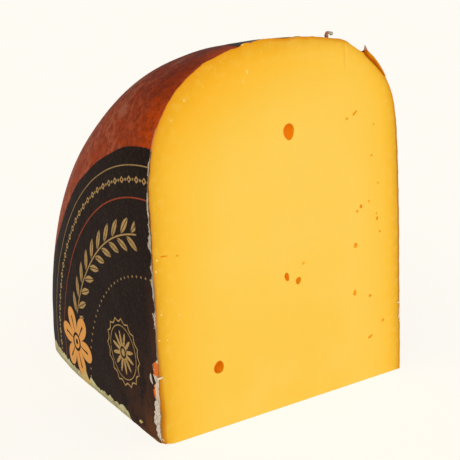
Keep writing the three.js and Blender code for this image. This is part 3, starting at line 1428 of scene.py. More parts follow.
@dataclass(frozen=True)
class PaperCore(Surfacing):
    """The torn paper under the print: white at the upright cut, olive along the base.

    Attributes:
        white: Its colour at the upright cut.
        shade: The darker fibres there.
        olive: Its colour along the base.
        umber_and_shade: The darker clouds, and the lowest line there, which is painted contact shade.
        light: The lighter clouds there.
        dull: Its colour high up at the upright cut.
        golden: A rubbed stretch of the base.
        orange: The stains.
        peach: A blush between them.
        stains: Lower end, upper end and least distance behind the upright cut of each stain.
    """

    title: ClassVar[str] = "torn paper"
    white: Colour = srgb(222, 212, 196)
    shade: Colour = srgb(170, 152, 130)
    olive: Colour = srgb(192, 180, 130)
    umber_and_shade: Colour = srgb(150, 138, 96)
    light: Colour = srgb(204, 202, 152)
    dull: Colour = srgb(138, 124, 98)
    golden: Colour = srgb(204, 166, 92)
    orange: Colour = srgb(226, 112, 34)
    peach: Colour = srgb(244, 204, 160)
    stains: tuple[Triple, ...] = ((23.7, 28.6, -1.0), (15.2, 20.6, 3.3))

    def dress(self, finish: Finish) -> None:
        """Lays the white and its fibres, the olive base and the stains.

        Args:
            finish: The material.
        """
        fibres = finish.noise(0.5, 4.0, at=finish.joined(finish.x, finish.y, finish.z * 0.5))
        clouds = [
            (finish.noise(2.2, 3.0).above(0.55, 0.15), self.umber_and_shade),
            (finish.noise(5.0, 2.0).above(0.52, 0.1) * 0.7, self.light),
            # The lowest line: painted contact shade under the paper's edge
            (finish.z.below(1.3, 0.8) * 0.6, self.umber_and_shade),
            (finish.y.within(57.0, 64.0, 2.0) * 0.7, self.golden),
        ]
        along_base = finish.y.above(14.0, 4.0) * finish.z.below(12.0, 2.0)
        blush = finish.z.within(16.5, 22.0, 1.5) * finish.y.within(1.4, 3.8, 0.6)
        tints = [
            (fibres.below(0.45, 0.1), self.shade),
            (finish.z.above(40.0, 14.0) * 0.5, self.dull),
            (along_base, finish.layers(self.olive, clouds)),
            (blush * 0.7, self.peach),
        ]
        for low, high, start in self.stains:
            here = finish.z.within(low, high, 0.3) * finish.y.within(start, 8.0, 0.5)
            tints.append((here * finish.noise(0.9).above(0.24, 0.08), self.orange))
        finish.bump(fibres * 0.12)
        finish.skin(finish.layers(self.white, tints), 0.75, 0.1)


@dataclass(frozen=True)
class FibreWhite(Surfacing):
    """Loose paper fibres, greyed in clouds, with painted light over the far side's and those over the cut.

    Attributes:
        white: Their colour.
        shade: Their darker clouds.
        painted_light_white: The painted light over the far side's fibres and those over the cut.
        far_reach: How far in from the far side the painted light begins.
    """

    title: ClassVar[str] = "paper fibres"
    white: Colour = srgb(226, 216, 196)
    shade: Colour = srgb(168, 154, 130)
    painted_light_white: Colour = srgb(236, 217, 184)
    far_reach: float = 8.0

    def dress(self, finish: Finish) -> None:
        """Lays the paper greyed in clouds, and the painted light over it.

        Args:
            finish: The material.
        """
        cloud = finish.noise(1.2, 2.0)
        far = finish.x.above(finish.wheel.thickness - self.far_reach, 2.0)
        # Painted light: brighter on the far side and over the cut
        tints = [(cloud, self.shade), (far.most(finish.y.below(0.5, 0.4)), self.painted_light_white)]
        finish.bump(finish.noise(0.4, 2.0) * 0.03)
        finish.skin(finish.layers(self.white, tints), 0.7 + cloud * 0.1, 0.5)


@dataclass(frozen=True)
class Band(Surfacing):
    """Dark slate paper round the rim, with a row of small lozenges down its middle.

    Attributes:
        slate: The ground.
        fleck: Lighter spots in it.
        gold: The lozenges and the two rules.
        rubbed: The scuffed end at the upright cut.
        bare: Its far corner, where the print has gone.
        middle: Place of the lozenges along the axle.
        pitch: Distance from lozenge to lozenge.
        rules_off: Distance of the rules from the middle.
    """

    title: ClassVar[str] = "band print"
    slate: Colour = srgb(36, 36, 30)
    fleck: Colour = srgb(60, 56, 44)
    gold: Colour = srgb(124, 104, 66)
    rubbed: Colour = srgb(136, 112, 106)
    bare: Colour = srgb(190, 142, 84)
    middle: float = 52.0
    pitch: float = 8.0
    rules_off: float = 6.0

    def dress(self, finish: Finish) -> None:
        """Lays the ground, the print faded in spots, and the rubbed end.

        Args:
            finish: The material.
        """
        worn = finish.noise(2.0, 4.0)
        off = abs(finish.x - self.middle)
        step = finish.beat(finish.wheel.radius, self.pitch)
        lozenge = (abs(step) * 0.6 + off).below(1.9, 0.15)
        rules = abs(off - self.rules_off).below(0.25, 0.12)
        rubbed = finish.y.below(3.0, 1.5) * finish.x.above(38.0, 1.0)
        tints = [
            (worn.above(0.6, 0.1) * 0.3, self.fleck),
            (lozenge.most(rules) * worn.above(0.36, 0.08), self.gold),
            (rubbed * 0.7, self.rubbed),
            (rubbed * finish.x.above(47.5, 1.5) * 0.9, self.bare),
        ]
        finish.bump(finish.noise(3.0, 4.0) * 0.15)
        finish.skin(finish.layers(self.slate, tints), 0.42 + worn * 0.16, 0.05)


# ---- The cheese


class Cut(Enum):
    """The two cut faces."""

    FRONT = "front"
    BOTTOM = "bottom"


@dataclass(frozen=True)
class Eye:
    """A gas hole that a cut face opens.

    Attributes:
        cut: The face.
        along: Its place along the axle.
        away: Its distance from the axle.
        width: Width of the opening.
        height: Height of the opening.
        depth: How deep it goes.
        tilt: Turn of the opening in degrees.
        spout: Height of a point at its top, as a share of its height.
        sunk: How far its middle lies inside the cut, as a share of its depth.
        lobes: Heights of its unevenness.
        steps: Its grid from pole to pole and round.
    """

    sunk: ClassVar[float] = 0.3
    lobes: ClassVar[Pair] = (0.05, 0.04)
    steps: ClassVar[tuple[int, int]] = (14, 20)
    cut: Cut
    along: float
    away: float
    width: float
    height: float
    depth: float
    tilt: float = 0.0
    spout: float = 0.0

    def grid(self, chance: np.random.Generator) -> Array:
        """An uneven ball whose middle lies a little inside the cut.

        It is scaled by 1 / sqrt(1 - (sink / reach)^2) so that it has the opening's size where
        the cut crosses it.

        Args:
            chance: Random numbers for its lobes.

        Returns:
            A closed grid of points that faces outwards.
        """
        side, up, inward = lumpy_ball(chance, self.steps, self.lobes, self.spout)
        sink = self.sunk * self.depth
        reach = self.depth - sink
        grow = 1 / math.sqrt(1 - (sink / reach) ** 2)
        side = side * self.width / 2 * grow
        up = up * self.height / 2 * grow
        inward = inward * reach + sink
        lean = math.radians(self.tilt)
        along = self.along + side * math.cos(lean) + up * math.sin(lean)
        away = self.away + up * math.cos(lean) - side * math.sin(lean)
        if self.cut is Cut.FRONT:
            return np.stack([along, inward, away], -1)
        return np.stack([along, away, inward], -1)


@dataclass
class Cheese:
    """The paste and its rind: the quarter, its dent, its torn edge, and the eyes in its cuts.

    Attributes:
        wheel: The wheel that it is cut from.
        profile_points: Points along the profile.
        angle_steps: Rows of the rind from cut to cut.
        crowding: How much they crowd towards both cuts.
        base_points: Points along a cut's straight edge.
        rings: Rings from a cut's edge to its middle.
        ring_power: How much they crowd towards the edge.
        ring_middle: Shares of the straight edge and of the arch in the rings' middle.
        rim_share: Share of the wheel's radius past which the rind is rim.
        dent_along: Place of the dent beside the torn coat, along the axle.
        dent_half: Half its length.
        dent_depth: Its depth.
        dent_back: How far it reaches back from the cut.
        edge_back: How far the torn edge reaches back from it.
        edge_waves: Wavelengths of the torn edge.
        edge_height: Its height.
        edge_depth: How deep it still moves the paste's colours.
        coat_depth: Depth below the dent at which coat gives way to paste.
        seed: Picks the eyes' lobes.
        nicks: The larger tears of the edge.
        eyes: The gas holes in both cuts.
    """

    wheel: Wheel
    profile_points: int = 330
    angle_steps: int = 168
    crowding: float = 0.78
    base_points: int = 84
    rings: int = 22
    ring_power: float = 2.4
    ring_middle: Pair = (0.55, 0.45)
    rim_share: float = 0.7
    dent_along: float = 80.2
    dent_half: float = 4.2
    dent_depth: float = 0.6
    dent_back: float = 9.0
    edge_back: float = 1.4
    edge_waves: tuple[float, ...] = (7.3, 3.4, 2.1)
    edge_height: float = 0.07
    edge_depth: float = 4.0
    coat_depth: float = 0.75
    seed: int = 7
    nicks: tuple[Fray, ...] = (
        Fray(21.8, 1.2, 0.24), Fray(25.2, 1.4, -0.14), Fray(33.5, 0.9, -0.16), Fray(36.2, 1.3, 0.42),
        Fray(43.0, 4.6, 0.26), Fray(50.6, 2.4, -0.14), Fray(55.6, 2.0, 0.28), Fray(61.7, 1.2, 0.28),
    )
    eyes: tuple[Eye, ...] = (
        Eye(Cut.FRONT, 51.8, 95.2, 4.1, 5.7, 3.4, 6.0),
        Eye(Cut.FRONT, 21.7, 21.6, 3.6, 4.6, 4.0, 8.0, 0.45),
        Eye(Cut.FRONT, 49.6, 46.6, 1.9, 3.0, 2.0, -12.0), Eye(Cut.FRONT, 54.3, 44.3, 2.1, 2.6, 1.8, 12.0),
        Eye(Cut.FRONT, 79.2, 51.9, 1.5, 2.0, 0.9), Eye(Cut.FRONT, 78.6, 34.5, 1.5, 2.0, 0.8, 8.0),
        Eye(Cut.FRONT, 85.5, 32.0, 1.4, 1.0, 0.6, -10.0),
        Eye(Cut.FRONT, 85.4, 16.3, 2.2, 1.0, 0.7, -25.0), Eye(Cut.FRONT, 91.3, 21.2, 1.1, 1.3, 0.5),
        Eye(Cut.FRONT, 81.8, 65.4, 1.2, 1.4, 0.9), Eye(Cut.FRONT, 80.1, 64.0, 1.1, 1.0, 0.5),
        Eye(Cut.FRONT, 85.4, 66.7, 0.8, 1.1, 0.35), Eye(Cut.FRONT, 89.1, 59.9, 1.0, 1.4, 0.7, 10.0),
        Eye(Cut.FRONT, 88.8, 61.7, 0.7, 0.9, 0.35), Eye(Cut.FRONT, 90.3, 55.0, 0.9, 0.9, 0.45),
        Eye(Cut.FRONT, 79.1, 98.0, 2.4, 0.8, 0.65, -42.0), Eye(Cut.FRONT, 75.7, 96.5, 1.1, 0.8, 0.45),
        Eye(Cut.FRONT, 56.6, 50.0, 1.3, 1.1, 0.28), Eye(Cut.FRONT, 89.7, 72.6, 0.9, 0.9, 0.35),
        Eye(Cut.FRONT, 86.6, 82.7, 1.0, 0.9, 0.35), Eye(Cut.FRONT, 87.3, 93.3, 0.9, 0.8, 0.3),
        Eye(Cut.FRONT, 4.0, 62.8, 2.6, 0.5, 0.5, 2.0), Eye(Cut.FRONT, 8.6, 62.2, 0.9, 0.7, 0.4),
        Eye(Cut.BOTTOM, 63.0, 71.0, 3.6, 4.4, 3.0, 20.0), Eye(Cut.BOTTOM, 30.5, 40.0, 2.2, 2.0, 2.0),
        Eye(Cut.BOTTOM, 35.0, 43.5, 1.5, 2.4, 1.8, -20.0), Eye(Cut.BOTTOM, 74.0, 26.0, 1.7, 1.6, 1.6),
        Eye(Cut.BOTTOM, 18.0, 98.0, 1.9, 1.5, 1.6, 30.0),
    )

    def torn_edge(self, along: Array, across: Array) -> Array:
        """How far the upright cut's edge stands off: slight waves plus a bell for each nick.

        The waves die down towards the axle. The nicks lie on the rim.

        Args:
            along: Places along the axle.
            across: Radii.

        Returns:
            One height a place.
        """
        nicks = sum(nick.over(along) for nick in self.nicks)
        waves = self.edge_height * ripple(along + across, self.edge_waves, seed=8)
        return waves * smooth_step(across, 1.0, 5.0) + nicks * self.on_rim(across)

    def on_rim(self, across: Array) -> Array:
        """Whether places at these radii lie on the rim."""
        return across > self.wheel.radius * self.rim_share

    def rind_grid(self) -> Array:
        """The outer surface over angle and profile, with the dent beside the torn coat.

        The angle is 90 degrees times s - crowding sin(2 pi s) / 2 pi for s from 0 to 1, so that
        rows crowd towards both cuts. The torn edge fades out within a short way of the cut.

        Returns:
            The grid, angles by profile points.
        """
        along, across = self.wheel.outline(self.profile_points)
        share = np.linspace(0, 1, self.angle_steps)
        angle = (share - self.crowding * np.sin(2 * math.pi * share) / (2 * math.pi)) * math.pi / 2
        shape = (self.angle_steps, self.profile_points)
        along, across = np.broadcast_to(along, shape), np.broadcast_to(across, shape)
        turn = np.broadcast_to(angle[:, None], shape)
        behind = (math.pi / 2 - turn) * self.wheel.radius
        dent = bell(along, self.dent_along, self.dent_half) * (1 - smooth_step(behind, 2.0, self.dent_back))
        torn = self.torn_edge(along, across) * (1 - smooth_step(behind, 0.15, self.edge_back))
        grid = self.wheel.surface(along, across, turn, torn - self.dent_depth * dent * self.on_rim(across))
        grid[:, [0, -1], 1:] = 0.0
        grid[0, :, 2] = 0.0
        grid[-1, :, 1] = 0.0
        return grid

    def cut_grid(self, edge: Array) -> Array:
        """Rings from the edge of a cut face to its middle.

        Ring k is the edge drawn towards the middle by (k / rings) ^ power.

        Args:
            edge: The profile's points on that cut, from tip to tip.

        Returns:
            The grid, rings by points.
        """
        base = np.linspace(edge[-1], edge[0], self.base_points)[1:]
        loop = np.concatenate([edge, base])
        low_share, high_share = self.ring_middle
        middle = (edge[0] + edge[-1]) / 2 * low_share + edge[len(edge) // 2] * high_share
        pull = (np.arange(self.rings + 1) / self.rings) ** self.ring_power
        return loop[None] + (middle - loop)[None] * pull[:, None, None]

    def eye_cutter(self) -> Piece:
        """All eyes as one object of separate closed balls.

        Returns:
            The object.
        """
        chance = np.random.default_rng(self.seed)
        balls = Patchwork()
        for eye in self.eyes:
            balls.add(eye.grid(chance), flip=eye.cut is Cut.BOTTOM)
        return make_piece("eye_cutter", self.wheel, balls.welded())

    def build(self) -> Piece:
        """Builds the body, cuts its eyes and dresses paste and rind.

        Returns:
            The finished piece.
        """
        rind = self.rind_grid()
        body = Patchwork()
        body.add(rind)
        body.add(self.cut_grid(rind[-1]))
        body.add(self.cut_grid(rind[0]), flip=True)
        piece = make_piece("cheese", self.wheel, body.welded())
        cutter = self.eye_cutter()
        cut = piece.modifiers.new("eyes", "BOOLEAN")
        cut.operation = "DIFFERENCE"
        cut.solver = "MANIFOLD"
        cut.object = cutter
        bpy.context.view_layer.update()
        evaluated = piece.evaluated_get(bpy.context.evaluated_depsgraph_get())
        finished = bpy.data.meshes.new_from_object(evaluated)
        piece.modifiers.clear()
        piece.data = finished
        bpy.data.objects.remove(cutter)
        soften(finished)
        self.dress(finished)
        return piece

    def dress(self, mesh: bpy.types.Mesh) -> None:
        """Writes each vertex's depth below the rind and gives rind and paste their materials.

        Args:
            mesh: The cut cheese.
        """
        points = self.wheel.from_row(places(mesh.vertices, "co"))
        below = self.wheel.depth(points)
        torn = self.torn_edge(points[:, 0], np.hypot(points[:, 1], points[:, 2]))
        below += torn * (below < self.edge_depth)
        depth = mesh.attributes.new(RIND_DEPTH, "FLOAT", "POINT")
        depth.data.foreach_set("value", below.astype(np.float32))
        centres = self.wheel.from_row(places(mesh.polygons, "center"))
        on_cut = np.minimum(centres[:, 1], centres[:, 2]) < ON_CUT
        inside = self.wheel.depth(centres) > self.coat_depth + self.dent_depth
        mesh.materials.clear()
        mesh.materials.append(Rind().material(self.wheel))
        mesh.materials.append(Paste().material(self.wheel))
        mesh.polygons.foreach_set("material_index", (on_cut | inside).astype(np.int32))
        mesh.update()


# ---- Torn coat and crumbs


@dataclass
class TornCoat:
    """A flap of coat lifted at the far shoulder, and a curl of it on the top edge.

    Attributes:
        wheel: The wheel that they are torn from.
        flap_from: Where the flap begins along the axle.
        flap_to: Where it ends.
        flap_back: How far it reaches back from the cut.
        lap: How far it hangs over in front of it.
        sunk: How far it hangs below the rim there.
        lift: How far its torn end stands off.
        spike: Height of the point at that end.
        spike_share: Half the point's width, as a share of the flap's length.
        spike_lean: How far it leans for each millimetre of its height.
        curl_at: Where the curl bends over, along the axle and up.
        curl_reach: Half width and height of its bend.
        curl_stem: Height of its stem.
        curl_turn: Degrees that it bends through.
        curl_droop: How far its weight lowers its tip.
        curl_width: Its width at its foot.
        curl_back: How far its middle stands behind the cut.
        curl_share: Share of its length that is stem.
        flap_steps: Points of the flap backwards and along the axle.
        curl_steps: Points of the curl across and along it.
    """

    wheel: Wheel
    flap_from: float = 83.2
    flap_to: float = 92.1
    flap_back: float = 15.0
    lap: float = 0.3
    sunk: float = 1.05
    lift: float = 1.05
    spike: float = 1.3
    spike_share: float = 0.058
    spike_lean: float = 0.2
    curl_at: Pair = (69.2, 124.3)
    curl_reach: Pair = (1.0, 0.75)
    curl_stem: float = 1.7
    curl_turn: float = 172.0
    curl_droop: float = 0.5
    curl_width: float = 1.1
    curl_back: float = 0.9
    curl_share: float = 0.4
    flap_steps: tuple[int, int] = (26, 84)
    curl_steps: tuple[int, int] = (9, 40)

    def flap(self) -> Piece:
        """The flap: a sheet over the rim's form.

        u runs along the axle and v backwards. The outer face stands off by
        lift (1 - u^1.2) + ripple, which falls with v, fastest at the torn end. There a spike
        exp(-((u - 0.03) / share)^2) raises it and leans it along the axle. The inner face hangs
        below the rim by sunk (1 - u^3)^0.6 at the front. Towards the torn end both lose their
        shift along the axle, so that it stands upright.

        Returns:
            The finished piece.
        """
        v = np.linspace(0, 1, self.flap_steps[0])[:, None]
        u = np.linspace(0, 1, self.flap_steps[1])[None, :]
        length = self.flap_to - self.flap_from
        along = self.flap_from + u * length + 0 * v
        ragged = ripple(u * length, (2.6, 1.1, 0.5), seed=31) * 0.05 * (1 - u)
        back = v * self.flap_back * (0.72 + 0.28 * ripple(u * length, (5.0, 2.0), seed=5))
        angle = math.pi / 2 + (self.lap - back) / self.wheel.radius
        fall = (1 - v) ** (1.4 + 24 * (1 - u) ** 3)
        spike = self.spike * np.exp(-(((u - 0.03) / self.spike_share) ** 2)) * (1 - v) ** 6
        lift = (self.lift * (1 - u**1.2) + ragged) * fall + 0.03 - 0.1 * v
        hang = (1 - u**3).clip(0) ** 0.6
        sunk = -self.sunk * hang * (1 - smooth_step(v, 0.0, 0.2)) - 0.12
        across = self.wheel.rim_at(along)
        outer = self.wheel.surface(along, across, angle, lift)
        inner = self.wheel.surface(along, across, angle, sunk + 0 * along)
        for face in (outer, inner):
            face[..., 0] += (along - face[..., 0]) * (1 - u) ** 6
        outer[..., 0] -= spike * self.spike_lean
        outer[..., 2] += spike
        sheet = Patchwork()
        sheet.slab(outer, inner, flip=True)
        return make_piece("coat_flap", self.wheel, sheet.welded(), Flake())

    def curl(self) -> Piece:
        """The curl: a flat ribbon swept up a stem and over a part ellipse, narrowing to its tip.

        Its middle line is (-wide cos(t), high sin(t)) about the bend's centre, with t from 0 at
        the stem's top to the full turn, less a droop that grows with the square of the way.

        Returns:
            The finished piece.
        """
        path = np.linspace(0, 1, self.curl_steps[1])
        stem = self.curl_share
        bent = ((path - stem) / (1 - stem)).clip(0, 1)
        turn = bent * math.radians(self.curl_turn)
        low = (1 - (path / stem).clip(0, 1)) * self.curl_stem
        wide, high = self.curl_reach
        centre_x = self.curl_at[0] - wide * np.cos(turn) + 0.12 * np.sin(path * 9)
        centre_z = self.curl_at[1] + high * np.sin(turn) - low - self.curl_droop * bent**2
        thick = (0.32 + 0.26 * path) * (1 - 0.4 * path**8) * (1 + 0.2 * np.sin(path * 23))
        out_x, out_z = -np.cos(turn), np.sin(turn)
        sweep = np.linspace(-0.5, 0.5, self.curl_steps[0])
        breadth = self.curl_width * (1 - 0.45 * path)
        depth = self.curl_back + sweep[:, None] * breadth[None] + 0.12 * np.sin(path * 7)[None]
        faces = []
        for sign in (1, -1):
            x = np.broadcast_to(centre_x + sign * thick * out_x, depth.shape)
            z = np.broadcast_to(centre_z + sign * thick * out_z, depth.shape)
            faces.append(np.stack([x, depth, z], -1))
        ribbon = Patchwork()
        ribbon.slab(faces[0], faces[1], flip=True)
        return make_piece("coat_curl", self.wheel, ribbon.welded(), DryCurl())

    def build(self) -> list[Piece]:
        """Builds the flap and the curl."""
        return [self.flap(), self.curl()]


@dataclass(frozen=True)
class Speck:
    """A crumb on the upright cut: its place along the axle and up, and its half sizes."""

    along: float
    up: float
    wide: float
    high: float


@dataclass
class Crumbs:
    """Pale crumbs of paste that the knife left on the upright cut.

    Attributes:
        wheel: The wheel whose cut they lie on.
        thickness: Half a crumb's thickness.
        lobes: Heights of a crumb's unevenness.
        steps: A crumb's grid from pole to pole and round.
        seed: Picks the lobes' places.
        specks: The crumbs.
    """

    wheel: Wheel
    thickness: float = 0.16
    lobes: Pair = (0.22, 0.16)
    steps: tuple[int, int] = (8, 14)
    seed: int = 19
    specks: tuple[Speck, ...] = (
        Speck(36.7, 115.7, 0.40, 0.75), Speck(35.1, 112.8, 0.32, 0.50), Speck(13.7, 109.3, 0.45, 0.35),
        Speck(9.0, 104.0, 0.25, 0.25), Speck(1.9, 44.4, 0.40, 0.30), Speck(8.5, 42.8, 0.45, 0.32),
        Speck(3.7, 35.7, 0.30, 0.35), Speck(1.5, 62.0, 0.35, 0.45), Speck(1.0, 58.5, 0.30, 0.40),
        Speck(0.8, 36.2, 0.40, 0.30), Speck(35.3, 124.0, 0.50, 0.22),
    )

    def build(self) -> Piece:
        """Uneven flattened balls, half sunk in the cut.

        Returns:
            The finished piece.
        """
        chance = np.random.default_rng(self.seed)
        crumbs = Patchwork()
        for speck in self.specks:
            side, up, inward = lumpy_ball(chance, self.steps, self.lobes)
            x, z = speck.along + speck.wide * side, speck.up + speck.high * up
            crumbs.add(np.stack([x, self.thickness * inward, z], -1))
        return make_piece("crumbs", self.wheel, crumbs.welded(), Crumb())


# ---- Paper


@dataclass
class Label:
    """A printed paper disc on a flat side, cut through with the wheel.

    Two sheets lie on each other: the paper's core, and the print, which tears back further
    from the cuts and shows the core there.

    Attributes:
        wheel: The wheel that it is stuck on.
        side: The flat side that it covers.
        name: Its node's name, which its pieces' names start with.
        reach: Its radius.
        lobes: Swells of its round edge, by degrees up.
        rows: Rows of a sheet's grid from the bottom cut upwards.
        columns: Points of a row.
        last_row: Angle of the last row, in degrees.
        column_power: How much the points crowd towards the upright cut.
        fade: How far in from a cut its tears still move the grid.
        core_lifts: Lifts of the core's inner and outer face over the rind.
        print_lifts: The same of the print.
        front_frays: Tears of the print along the upright cut, by height.
        bottom_frays: Its tears along the bottom cut, by distance back.
    """

    wheel: Wheel
    side: FlatSide
    name: str
    reach: float = 95.1
    lobes: tuple[Fray, ...] = (
        Fray(14.0, 20.5, 4.4), Fray(47.0, 9.0, 0.9), Fray(84.0, 9.0, 0.9),
    )
    rows: int = 330
    columns: int = 96
    last_row: float = 89.85
    column_power: float = 1.15
    fade: float = 7.0
    core_lifts: Pair = (0.02, 0.10)
    print_lifts: Pair = (0.09, 0.17)
    front_frays: tuple[Fray, ...] = (
        Fray(90.4, 2.6, 0.55), Fray(79.0, 3.9, 0.85), Fray(72.6, 1.9, 0.6), Fray(67.6, 2.6, 1.7),
        Fray(59.3, 1.4, 0.8), Fray(53.2, 4.0, 1.0), Fray(42.6, 2.8, 1.1), Fray(25.9, 2.8, 3.7),
        Fray(21.6, 1.9, 2.5), Fray(17.4, 2.8, 3.4), Fray(12.0, 3.2, 2.9), Fray(7.2, 2.9, 3.2),
        Fray(3.2, 1.6, 2.2),
    )
    bottom_frays: tuple[Fray, ...] = (
        Fray(28.0, 4.2, 3.0), Fray(35.8, 4.6, 2.2), Fray(44.5, 5.6, 2.3), Fray(54.8, 4.6, 3.2),
        Fray(60.9, 2.4, 4.0), Fray(69.5, 6.2, 2.7), Fray(81.0, 6.0, 3.2), Fray(92.5, 6.5, 4.3),
    )

    def tear(self, at: Array, frays: tuple[Fray, ...], seed: int) -> Array:
        """How far the print stands back from a cut at places along it: a ragged bell for each fray."""
        rough = 1 + 0.22 * ripple(at, (5.3, 3.1, 1.9, 1.3), seed)
        return 0.03 + sum(fray.over(at) for fray in frays) * rough.clip(0.2)

    def sheet(self, front: Array, bottom: Array, lifts: Pair) -> tuple[Array, Array]:
        """One sheet of paper between two lifts over the rind.

        Row k lies at height reach sin(k) and runs back to reach cos(k). Both straight edges are
        then pushed in by their tears.

        Args:
            front: How far each row's front end stands back.
            bottom: How far each column's lower end is raised.
            lifts: Lifts of the inner and the outer face.

        Returns:
            Points and triangles.
        """
        turn = np.linspace(0, math.radians(self.last_row), self.rows)[:, None]
        share = (np.linspace(0, 1, self.columns) ** self.column_power)[None, :]
        lobed = sum(lobe.over(np.degrees(turn)) for lobe in self.lobes)
        wavy = self.reach + lobed * share**4
        back = wavy * np.cos(turn) * share
        up = wavy * np.sin(turn) + 0 * share
        y = back + front * (1 - (back / self.fade).clip(0, 1))
        z = up + bottom * (1 - (up / self.fade).clip(0, 1))
        across = np.hypot(y, z)
        angle = np.arctan2(z, y)
        along = self.wheel.side_at(self.side, across)
        cockle = 0.05 * ripple(y, (31.0, 17.0), seed=3) * ripple(z, (23.0, 13.0), seed=4) + 0.05
        inner, outer = (self.wheel.surface(along, across, angle, lift + cockle) for lift in lifts)
        paper = Patchwork()
        paper.slab(outer, inner, flip=self.side.sign > 0)
        return paper.welded()

    def build(self) -> list[Piece]:
        """Builds the core and the print.

        The core's front edge stands back a little, more at its worn lower corner.

        Returns:
            The two pieces.
        """
        up = self.reach * np.sin(np.linspace(0, math.radians(self.last_row), self.rows))[:, None]
        back = (self.reach * np.linspace(0, 1, self.columns) ** self.column_power)[None, :]
        worn_corner = 1.1 * (1 - smooth_step(up, 8.0, 26.0))
        core_front = 0.5 + worn_corner + 0.2 * ripple(up, (6.0, 2.3, 1.1, 0.8), seed=11)
        core_bottom = 0.12 + 0.06 * ripple(back, (9.0, 3.1, 2.1), seed=12) + 0.8 * bell(back, 4.5, 2.6)
        front = core_front.clip(0) + self.tear(up, self.front_frays, seed=13)
        bottom = core_bottom + self.tear(back, self.bottom_frays, seed=14)
        core = self.sheet(core_front, core_bottom, self.core_lifts)
        printed = self.sheet(front, bottom, self.print_lifts)
        return [
            make_piece(f"{self.name}_paper", self.wheel, core, PaperCore()),
            make_piece(f"{self.name}_print", self.wheel, printed, Print()),
        ]


@dataclass(frozen=True)
class Fibre:
    """A loose paper fibre, bent over three points.

    Attributes:
        start: Its start: height over the flat side, y and z.
        bend: The point that it bends towards.
        end: Its end.
        half: Half its thickness.
    """

    start: Triple
    bend: Triple
    end: Triple
    half: float


# The large fibres of either label
NEAR_STRANDS = (
    Fibre((0.25, 5.7, 23.6), (0.5, 5.6, 21.9), (0.25, 4.4, 20.2), 0.36),
    Fibre((0.3, 2.0, 23.1), (0.7, -0.9, 23.8), (-1.3, -0.3, 24.1), 0.34),
    Fibre((0.1, 1.2, 2.6), (0.5, -0.3, 2.5), (0.3, -0.3, 1.6), 0.16),
)
FAR_STRANDS = (
    Fibre((-1.4, -0.1, 26.5), (-0.6, -0.5, 26.6), (-0.05, -0.1, 26.1), 0.32),
    Fibre((-0.1, 0.1, 23.6), (-0.4, -0.3, 23.4), (-0.7, -0.12, 23.0), 0.18),
    Fibre((-0.2, -0.05, 24.7), (-0.25, -0.5, 22.4), (-0.75, -0.1, 19.9), 0.28),
)


@dataclass
class Fibres:
    """Fibres that stand out of a label's torn edge: a few large ones and many seeded small ones.

    Attributes:
        label: The label.
        strands: The large ones.
        loose: How many small ones.
        seed: Picks their places.
        rows: Points along a fibre.
        columns: Points round it.
    """

    label: Label
    strands: tuple[Fibre, ...]
    loose: int = 44
    seed: int = 61
    rows: int = 13
    columns: int = 7

    def scatter(self) -> list[Fibre]:
        """Small fibres at seeded places along the frays of the upright edge.

        Returns:
            The fibres.
        """
        chance = np.random.default_rng(self.seed)
        frays = self.label.front_frays
        weights = np.array([fray.half * fray.reach for fray in frays])
        made = []
        for pick in chance.choice(len(frays), self.loose, p=weights / weights.sum()):
            fray = frays[pick]
            up = max(fray.middle + fray.half * chance.uniform(-1, 1), 1.2)
            back = 0.6 + fray.reach * chance.uniform(0.0, 0.9)
            bend = (0.45, back + chance.uniform(-0.7, 0.7), up + chance.uniform(-0.7, 0.7))
            end = (0.15, max(back + chance.uniform(-1.1, 1.1), 0.3), max(up + chance.uniform(-1.4, 1.4), 0.6))
            made.append(Fibre((0.12, back, up), bend, end, chance.uniform(0.05, 0.12)))
        return made

    def tube(self, fibre: Fibre) -> Array:
        """A tube along (1 - t)^2 start + 2 t (1 - t) bend + t^2 end.

        Its radius is half sin(pi t)^0.5, so both ends close. Heights are then counted from the
        flat side's surface.

        Args:
            fibre: The fibre.

        Returns:
            The grid, points along the fibre by points round it.
        """
        t = np.linspace(0, 1, self.rows)[:, None]
        start, bend, end = (np.array(point) for point in (fibre.start, fibre.bend, fibre.end))
        path = (1 - t) ** 2 * start + 2 * t * (1 - t) * bend + t**2 * end
        ahead = np.gradient(path, axis=0)
        ahead /= np.linalg.norm(ahead, axis=1, keepdims=True).clip(1e-9)
        beside = np.cross(ahead, (1.0, 0.0, 0.0))
        beside /= np.linalg.norm(beside, axis=1, keepdims=True).clip(1e-9)
        above = np.cross(beside, ahead)
        turn = np.linspace(0, 2 * math.pi, self.columns)[None, :, None]
        radius = (fibre.half * np.sin(math.pi * t).clip(0) ** 0.5)[:, None, :]
        grid = path[:, None] + radius * (np.cos(turn) * beside[:, None] + np.sin(turn) * above[:, None])
        side = self.label.side
        along = self.label.wheel.side_at(side, np.hypot(grid[..., 1], grid[..., 2]))
        return np.stack([along + side.sign * grid[..., 0], grid[..., 1], grid[..., 2]], -1)

    def build(self) -> Piece:
        """Builds all fibres of the label as one piece.

        Returns:
            The finished piece.
        """
        tangle = Patchwork()
        for fibre in (*self.strands, *self.scatter()):
            tangle.add(self.tube(fibre), flip=self.label.side.sign < 0)
        name, wheel = f"{self.label.name}_fibres", self.label.wheel
        return make_piece(name, wheel, tangle.welded(tolerance=1e-4), FibreWhite())


